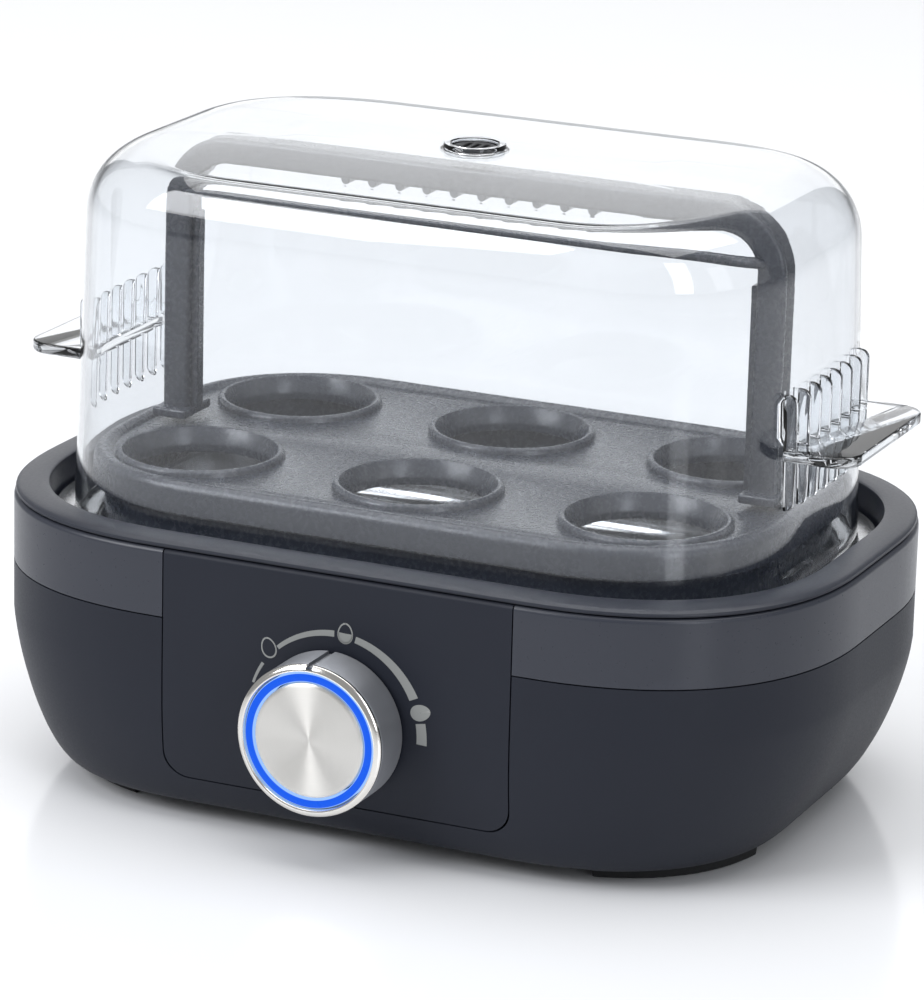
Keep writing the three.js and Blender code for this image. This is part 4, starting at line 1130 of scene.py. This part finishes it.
class BuildLid(PieceOperator, bpy.types.Operator):
    """Build the clear lid with its end grips, and the insert in its steam vent."""

    bl_idname = "egg_cooker.lid"
    bl_label = "Lid"

    def build(self, sizes):
        """One clear moulding and a dark insert."""
        shell = loft("clear_lid", self.rings(sizes.lid_wall / MM), closed=True)
        for side in (1, -1):
            shell = cut_by(shell, *self.grip(side, sizes), operation="UNION")
        fit(sharpened(shell, 30), "lid", "lid_clear", "lid")
        self.vent()

    CROWN, VENT_R = 138.9, 9.4  # height of the crown, and radius of the flat round the vent
    SHOULDER_Z, SHOULDER_R, FRONT_SHOULDER_R = 122.5, 15.6, 8.0
    DRAFT_X, DRAFT_Y = 1.8, 3.0  # how far the walls lean in up to the shoulder
    CROWN_RISE, CROWN_FALL, CROWN_HALF = 0.8, 1.8, 46  # its rise from the ends and fall to the front and back
    FLAT_INSET = 44  # where the crown's rounded rectangles end and its rings turn round

    def bowed(self, level):
        """A ring whose front and back have fallen with the crown."""
        return [(x, y, z - self.CROWN_FALL * max(0.0, (z - self.SHOULDER_Z) / self.SHOULDER_R)
                 * (y / self.CROWN_HALF) ** 2) for x, y, z in level]

    def skin(self, depth):
        """Rings up the wall, round the shoulder and in over the crown, at a depth below the outer face."""
        stack, start = [], LID_LOW.z + 4
        for step in range(27):
            share = step / 26
            stack.append(ring(LID, start + (self.SHOULDER_Z - start) * share,
                              depth + self.DRAFT_X * share, depth + self.DRAFT_Y * share))
        for step in range(1, 15):
            angle = step / 14 * math.pi / 2
            inset = self.SHOULDER_R * (1 - math.cos(angle)) + depth * math.cos(angle)
            front_inset = self.FRONT_SHOULDER_R * (1 - math.cos(angle)) + depth * math.cos(angle)
            z = self.SHOULDER_Z + (self.SHOULDER_R - depth) * math.sin(angle)
            stack.append(ring(LID, z, self.DRAFT_X + inset, self.DRAFT_Y + front_inset))
        end_x, end_y = self.DRAFT_X + self.SHOULDER_R, self.DRAFT_Y + self.FRONT_SHOULDER_R
        for step in range(1, 8):
            share = step / 7
            z = self.CROWN - self.CROWN_RISE * (1 - share) ** 2 - depth
            inset, front_inset = (end + (self.FLAT_INSET - end) * share for end in (end_x, end_y))
            stack.append(ring(LID, z, inset, front_inset))
        last, middle = stack[-1], circle_ring(self.VENT_R, self.CROWN - depth)
        for share in (0.2, 0.4, 0.6, 0.8, 1.0):
            stack.append([Vector(a).lerp(Vector(b), share) for a, b in zip(last, middle)])
        return [self.bowed(level) for level in stack]

    def rings(self, wall):
        """Rings up the outside, over the crown, through the vent and down the inside."""
        low, crown, top = LID_LOW.z, self.CROWN, LID_HIGH.z
        outer_foot = [ring(LID, low + rise, inset) for rise, inset in ((0, 0.5), (0.15, 0.15), (0.5, 0))]
        vent = [self.bowed(circle_ring(r, z)) for r, z in (
            (7.5, crown), (7.3, crown), (6.9, crown + 0.2), (6.7, crown + 0.5), (6.7, top - 0.25), (6.45, top),
            (5.4, top), (5.1, top - 0.25), (5.1, crown - wall + 0.2), (5.3, crown - wall), (5.5, crown - wall))]
        inner_foot = [ring(LID, low + rise, wall - inset) for rise, inset in ((0.5, 0), (0.15, 0.15), (0, 0.5))]
        return outer_foot + self.skin(0.0) + vent + self.skin(wall)[::-1] + inner_foot

    @staticmethod
    def grip(side, sizes):
        """A tab and a comb of fins at one end, let into the wall by half its thickness."""
        tip, half, corner, root, low, high = LID_HIGH.x, 23.3, 6, 81.3, 86.7, 89.1
        outline = [(root, -half)]
        for centre_y, start in ((-half + corner, -90), (half - corner, 0)):
            for step in range(13):
                angle = math.radians(start + 90 * step / 12)
                outline.append((tip - corner + corner * math.cos(angle), centre_y + corner * math.sin(angle)))
        outline.append((root, half))
        tab = plate("tool", [outline], low, high, 0.45)
        fin_low, fin_high, reach, sunk, round_r, wide = 75.8, 100.6, 2.4, 0.6, 2.0, 1.4
        face = [(-sunk, fin_low)]
        for centre_z, start in ((fin_low + round_r, -90), (fin_high - round_r, 0)):
            for step in range(9):
                angle = math.radians(start + 90 * step / 8)
                face.append((reach - round_r + round_r * math.cos(angle), centre_z + round_r * math.sin(angle)))
        face.append((-sunk, fin_high))
        points = [(x, y, z) for y in (-wide / 2, wide / 2) for x, z in face]
        count = len(face)
        faces = [(i, (i + 1) % count, count + (i + 1) % count, count + i) for i in range(count)]
        faces += [tuple(reversed(range(count))), tuple(range(count, 2 * count))]
        blade = baked(shape("fins", points, faces), *eased(0.4, 60))
        fins, pitch, mean_draft = sizes.fin_count, sizes.fin_pitch / MM, 0.9
        comb = with_nodes(blade, comb_on_wall(), {
            "Count": fins, "Start": row_start(fins, pitch), "Pitch": pitch,
            "Half length": LID.half_x - mean_draft, "Half depth": LID.half_y, "Corner": LID.corner,
            "Squareness": SQUARENESS, "Material": material_for("lid_clear")})
        turn = Matrix.Rotation(0 if side > 0 else math.pi, 4, "Z")
        for part in (tab, comb):
            part.data.transform(turn)
        return tab, comb

    @staticmethod
    def vent():
        """A dark insert with three slots."""
        low, high, radius = GRILLE_LOW.z, GRILLE_HIGH.z, (GRILLE_HIGH.x - GRILLE_LOW.x) / 2
        end_r, reach = 0.5, 2.5
        angles = [2 * math.pi * i / 16 for i in range(16)]
        slots = [[(x + end_r * math.cos(a), end_r * math.sin(a) + math.copysign(reach, math.sin(a)))
                  for a in angles] for x in (-2, 0, 2)]
        insert = plate("vent_insert", [circle_points(radius, 0, 0, 64), *slots], low, high, 0.2)
        fit(sharpened(insert), "lid", "black_plastic", "vent_grille")


# ------------------------------------------------------------------ knob, button and printed scale
class BuildKnob(PieceOperator, bpy.types.Operator):
    """Build the knob's barrel, bezel and light ring, and the button in its middle."""

    bl_idname = "egg_cooker.knob"
    bl_label = "Knob and button"

    def build(self, sizes):
        """Turned pieces about the control's axis."""
        front, back = SLEEVE_LOW.y - AXIS_Y, SLEEVE_HIGH.y - AXIS_Y
        notch_half, notch_depth, outer = 0.75, 0.7, KNOB_R
        profile = rounded_ring(outer - 1.7, outer, front, back, 0.3)
        sleeve = turned("knob_barrel", profile, on_control, 160, notch=(notch_half / outer, notch_depth))
        fit(sharpened(sleeve, 30), "knob", "knob_steel", "knob_sleeve")
        front, back = BEZEL_LOW.y - AXIS_Y, BEZEL_HIGH.y - AXIS_Y
        chamfer = [(14.9, back), (14.9, front + 0.25), (15.0, front + 0.08), (15.25, front),
                   (15.6, front + 0.1), (outer - 0.15, front + 0.55), (outer, front + 0.75), (outer, back)]
        bezel = turned("knob_bezel_ring", chamfer, on_control, 160)
        top = CONTROL_Z + outer
        groove = block("tool", (-notch_half, front - 1, top - 1), (notch_half, back + 1, top + 1), 0.1)
        bezel = cut_by(bezel, groove)
        fit(sharpened(bezel, 30), "knob", "bezel_chrome", "knob_bezel")
        lit = rounded_ring(LIGHT_INNER, LIGHT_OUTER, LIGHT_LOW.y - AXIS_Y, LIGHT_HIGH.y - AXIS_Y, 0.2)
        fit(sharpened(turned("knob_light", lit, on_control, 160)), "knob", "blue_light", "light_ring")
        front, back = BUTTON_LOW.y - AXIS_Y, BUTTON_HIGH.y - AXIS_Y
        radius = (BUTTON_HIGH.x - BUTTON_LOW.x) / 2
        dish = [(0, front + 0.22), (3, front + 0.2), (6, front + 0.15), (9, front + 0.08), (11.4, front),
                (12, front + 0.05), (radius - 0.1, front + 0.25), (radius, front + 0.5), (radius, front + 2),
                (1.4, front + 2), (1.4, back), (0, back)]
        fit(sharpened(turned("button_disc", dish, on_control, 160)), "button", "button_steel", "power_button")


class BuildScale(PieceOperator, bpy.types.Operator):
    """Print the scale round the knob: three eggs from soft to hard, and strokes that grow thicker."""

    bl_idname = "egg_cooker.scale"
    bl_label = "Printed scale"

    INK, SUNK = 0.04, 0.02  # how far the layer stands out of the panel and into it

    def build(self, sizes):
        """All the marks as one thin layer on the panel."""
        strokes = ((161, 146, 19.3, 0.55, 0.7), (131, 90, 19.25, 0.9, 1.35), (76, 25, 19.2, 1.45, 2.1),
                   (10, -3, 19.2, 2.2, 2.3))
        parts = [self.stroke(*stroke) for stroke in strokes]
        parts += [self.egg(136, 20.9, 108, False, False), self.egg(83, 20.5, 88, False, True),
                  self.egg(16.5, 20.8, 16, True, False)]
        work = joined(parts[0], *parts[1:])
        work.name = "printed_scale"
        fit(sharpened(work), "base", "body_plastic", material="ink")

    def layer(self, rows):
        """A thin closed layer over rows of places in x and z, wrapped on to the panel."""
        width = len(rows[0])
        points = []
        for lift in (self.INK, -self.SUNK):
            points += [(x, front_y(x, z) - lift, z) for row in rows for x, z in row]
        half = len(points) // 2
        top = strip_faces(len(rows), width)
        faces = top + [tuple(reversed([half + i for i in face])) for face in top]
        rim = [*range(width)] + [width * r + width - 1 for r in range(1, len(rows))]
        rim += [width * (len(rows) - 1) + i for i in reversed(range(width - 1))]
        rim += [width * r for r in reversed(range(1, len(rows) - 1))]
        faces += [(rim[i], half + rim[i], half + rim[(i + 1) % len(rim)], rim[(i + 1) % len(rim)])
                  for i in range(len(rim))]
        return shape("tool", points, faces)

    def stroke(self, start, end, inner, thick_start, thick_end):
        """A stretch of arc that widens as it goes."""
        rows = []
        for step in range(25):
            share = step / 24
            angle = math.radians(start + (end - start) * share)
            thick = thick_start + (thick_end - thick_start) * share
            rows.append([(r * math.cos(angle), CONTROL_Z + r * math.sin(angle))
                         for r in (inner, inner + thick / 2, inner + thick)])
        return self.layer(rows)

    def egg(self, degrees, radius, tilt, full, half):
        """An egg outline beside the knob with its point this way up, empty, half full or full."""
        angle, tilt = math.radians(degrees), math.radians(tilt)
        middle_x, middle_z = radius * math.cos(angle), CONTROL_Z + radius * math.sin(angle)
        out_x, out_z = math.cos(tilt), math.sin(tilt)

        def place(along, side):
            return middle_x + along * out_x - side * out_z, middle_z + along * out_z + side * out_x

        def edge(turn, shrink):
            long_r, wide_r = 2.3 * shrink, 1.75 * shrink
            return long_r * math.cos(turn), wide_r * math.sin(turn) * (1 - 0.12 * math.cos(turn))

        line = 0.0 if full else 0.84
        rows = []
        for step in range(41):
            turn = 2 * math.pi * step / 40
            rows.append([place(*edge(turn, s)) for s in (1.0, (1 + line) / 2, max(line, 0.02))])
        shell = self.layer(rows)
        if not half:
            return shell
        fill = []
        for step in range(17):
            turn = math.pi / 2 + math.pi * step / 16
            along, side = edge(turn, 0.9)
            fill.append([place(along, side), place(along / 2, side / 2), place(-0.02, 0.0)])
        return joined(shell, self.layer(fill))


# ------------------------------------------------------------------ what the CAD shows as it is
INNER_NODES = {
    "aluminium": ("heat_spreader", "knob_shaft", "capacitor"),
    "element_steel": ("heating_element", "temperature_sensor"),
    "bowl_steel": ("heat_shield",),
    "ceramic": ("thermostat", "thermal_fuse", "terminal_block"),
    "brass": ("element_terminal_left", "element_terminal_right", "control_bushing"),
    "wire_sleeve": ("lead_wire_left", "lead_wire_right"),
    "screw_steel": ("board_screw_left", "board_screw_right", "bushing_nut"),
    "clear_resin": ("led_left", "led_right"),
    "circuit_board": ("control_board",),
    "black_plastic": ("rotary_control", "push_switch", "transformer", "buzzer", "knob_hub"),
    "relay_blue": ("relay",),
}


class FinishInnerParts(PieceOperator, bpy.types.Operator):
    """Give the heating and control parts inside the base their materials."""

    bl_idname = "egg_cooker.inner_parts"
    bl_label = "Inner parts"

    def build(self, sizes):
        """The CAD shapes stay and take a finish each."""
        for slot, nodes in INNER_NODES.items():
            for name in nodes:
                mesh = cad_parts[name].data
                mesh.materials.clear()
                mesh.materials.append(material_for(slot))


# ------------------------------------------------------------------ stage
class BuildStage(PieceOperator, bpy.types.Operator):
    """Set up the camera, the pale floor and the soft studio light."""

    bl_idname = "egg_cooker.stage"
    bl_label = "Stage"

    def build(self, sizes):
        """Camera first, then floor and lights."""
        self.camera(sizes.camera_distance)
        self.floor()
        self.world()
        for name, place, size, power, colour in (
                ("key_light", (-0.85, -0.95, 0.95), (0.9, 0.8), 14.0, "#fbfcff"),
                ("corner_light", (0.95, -0.75, 0.6), (0.3, 1.0), 3.6, "#f6f9ff"),
                ("side_light", (1.25, -0.2, 0.5), (0.3, 0.7), 0.5, "#ffffff"),
                ("top_light", (0.0, 0.1, 1.4), (1.8, 1.4), 19.0, "#ffffff"),
                ("rear_light", (-0.7, 1.6, 0.6), (1.6, 0.9), 4.0, "#ffffff")):
            self.softbox(name, Vector(place), size, power, colour)

    @staticmethod
    def camera(distance):
        """A long lens from the front right, a little above."""
        azimuth, elevation, roll = (math.radians(a) for a in (23.915, 15.865, 1.509))
        aim_right, aim_down = (math.radians(a) for a in (-0.06, 0.7224))
        target = Vector((0, AXIS_Y * MM, 0.075))
        back = Vector((math.sin(azimuth) * math.cos(elevation), -math.cos(azimuth) * math.cos(elevation),
                       math.sin(elevation)))
        level = Vector((math.cos(azimuth), math.sin(azimuth), 0))
        rise = back.cross(level)
        right = math.cos(roll) * level + math.sin(roll) * rise
        up = math.cos(roll) * rise - math.sin(roll) * level
        forward = -back + right * math.tan(aim_right) - up * math.tan(aim_down)
        look = -forward.normalized()
        right = (right - look * right.dot(look)).normalized()
        data = bpy.data.cameras.new("studio_camera")
        data.sensor_width = 36
        data.lens = 180.91
        data.clip_start, data.clip_end = 0.05, 20
        camera = link(bpy.data.objects.new("studio_camera", data))
        axes = Matrix((right, look.cross(right), look)).transposed()
        camera.matrix_world = Matrix.Translation(target + back * distance) @ axes.to_4x4()
        bpy.context.scene.camera = camera

    @staticmethod
    def floor():
        """A wide pale sheet that curves up far behind, with a soft gloss."""
        points, profile = [], [(-4.0, 0.0), (3.0, 0.0)]
        profile += [(3.0 + 0.8 * math.sin(a), 0.8 - 0.8 * math.cos(a)) for a in (0.2, 0.5, 0.8, 1.1, 1.4)]
        profile += [(3.8, 1.5), (3.8, 4.0)]
        for y, z in profile:
            points += [(-6.0, y, z), (6.0, y, z)]
        mesh = bpy.data.meshes.new("studio_floor")
        mesh.from_pydata(points, [], [(i, i + 1, i + 3, i + 2) for i in range(0, len(points) - 2, 2)])
        mesh.shade_smooth()
        floor = link(bpy.data.objects.new("studio_floor", mesh))
        # Pale laminate: even, with a faint cloud in its colour and a soft reflection near what stands on it.
        material, tree = new_material("pale_laminate")
        cloud = node(tree, "ShaderNodeTexNoise", None, {
            "Vector": node(tree, "ShaderNodeTexCoord").outputs["Object"], "Scale": 1 / (90 * MM),
            "Detail": 3.0, "Roughness": 0.5})
        tint = node(tree, "ShaderNodeMix", {"data_type": "RGBA"}, {
            0: cloud, 6: finish_colour("floor", 0.985), 7: finish_colour("floor")})
        rough = node(tree, "ShaderNodeMapRange", None, {
            "Value": cloud, **NOISE_RANGE, "To Min": 0.13, "To Max": 0.17})
        shader = node(tree, "ShaderNodeBsdfPrincipled", None, {
            "Base Color": tint.outputs[2], "Roughness": rough, "IOR": 1.5})
        node(tree, "ShaderNodeOutputMaterial", None, {"Surface": shader})
        mesh.materials.append(material)

    @staticmethod
    def world():
        """An even surround, white to look at and through, and dimmer as a source of light."""
        world = bpy.data.worlds.new("studio_surround")
        world.use_nodes = True
        tree = world.node_tree
        tree.nodes.clear()
        path = node(tree, "ShaderNodeLightPath").outputs
        seen = node(tree, "ShaderNodeMath", {"operation": "MAXIMUM"}, {
            0: path["Is Camera Ray"], 1: path["Is Transmission Ray"]})
        strength = node(tree, "ShaderNodeMapRange", None, {"Value": seen, "To Min": 0.34, "To Max": 1.0})
        background = node(tree, "ShaderNodeBackground", None, {
            "Color": linear("#fafbfd"), "Strength": strength})
        node(tree, "ShaderNodeOutputWorld", None, {"Surface": background})
        bpy.context.scene.world = world
        bpy.context.scene.view_settings.view_transform = "Standard"

    @staticmethod
    def softbox(name, place, size, power, colour):
        """A rectangular lamp aimed at the object."""
        data = bpy.data.lights.new(name, "AREA")
        data.shape = "RECTANGLE"
        data.size, data.size_y = size
        data.energy = power
        data.color = linear(colour)[:3]
        lamp = link(bpy.data.objects.new(name, data))
        lamp.location = place
        lamp.rotation_euler = (place - Vector((0, 0, 0.07))).to_track_quat("Z", "Y").to_euler()


class EggCookerPanel(bpy.types.Panel):
    """Lists what can be built, and the sizes and colours it uses."""

    bl_idname = "VIEW3D_PT_egg_cooker"
    bl_label = "Egg cooker"
    bl_space_type = "VIEW_3D"
    bl_region_type = "UI"
    bl_category = "Egg cooker"

    def draw(self, context):
        """Buttons first, then the properties."""
        for operator in OPERATORS:
            self.layout.operator(operator.bl_idname)
        for group in (context.scene.egg_cooker_sizes, context.scene.egg_cooker_colours):
            column = self.layout.column()
            for key in group.__annotations__:
                column.prop(group, key)


OPERATORS = (BuildStage, BuildHousing, BuildRim, BuildUnderside, BuildBowl, BuildRack, BuildLid, BuildKnob,
             BuildScale, FinishInnerParts)
CLASSES = (EggCookerColours, EggCookerSizes, *OPERATORS, EggCookerPanel)


def register():
    """Adds the classes and the scene's two groups of properties."""
    for item in CLASSES:
        bpy.utils.register_class(item)
    bpy.types.Scene.egg_cooker_colours = bpy.props.PointerProperty(type=EggCookerColours)
    bpy.types.Scene.egg_cooker_sizes = bpy.props.PointerProperty(type=EggCookerSizes)


def unregister():
    """Takes them away again."""
    del bpy.types.Scene.egg_cooker_sizes
    del bpy.types.Scene.egg_cooker_colours
    for item in reversed(CLASSES):
        bpy.utils.unregister_class(item)


def main():
    """Registers the add-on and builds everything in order."""
    register()
    for operator in OPERATORS:
        group, name = operator.bl_idname.split(".")
        getattr(getattr(bpy.ops, group), name)()


if __name__ == "__main__":
    main()
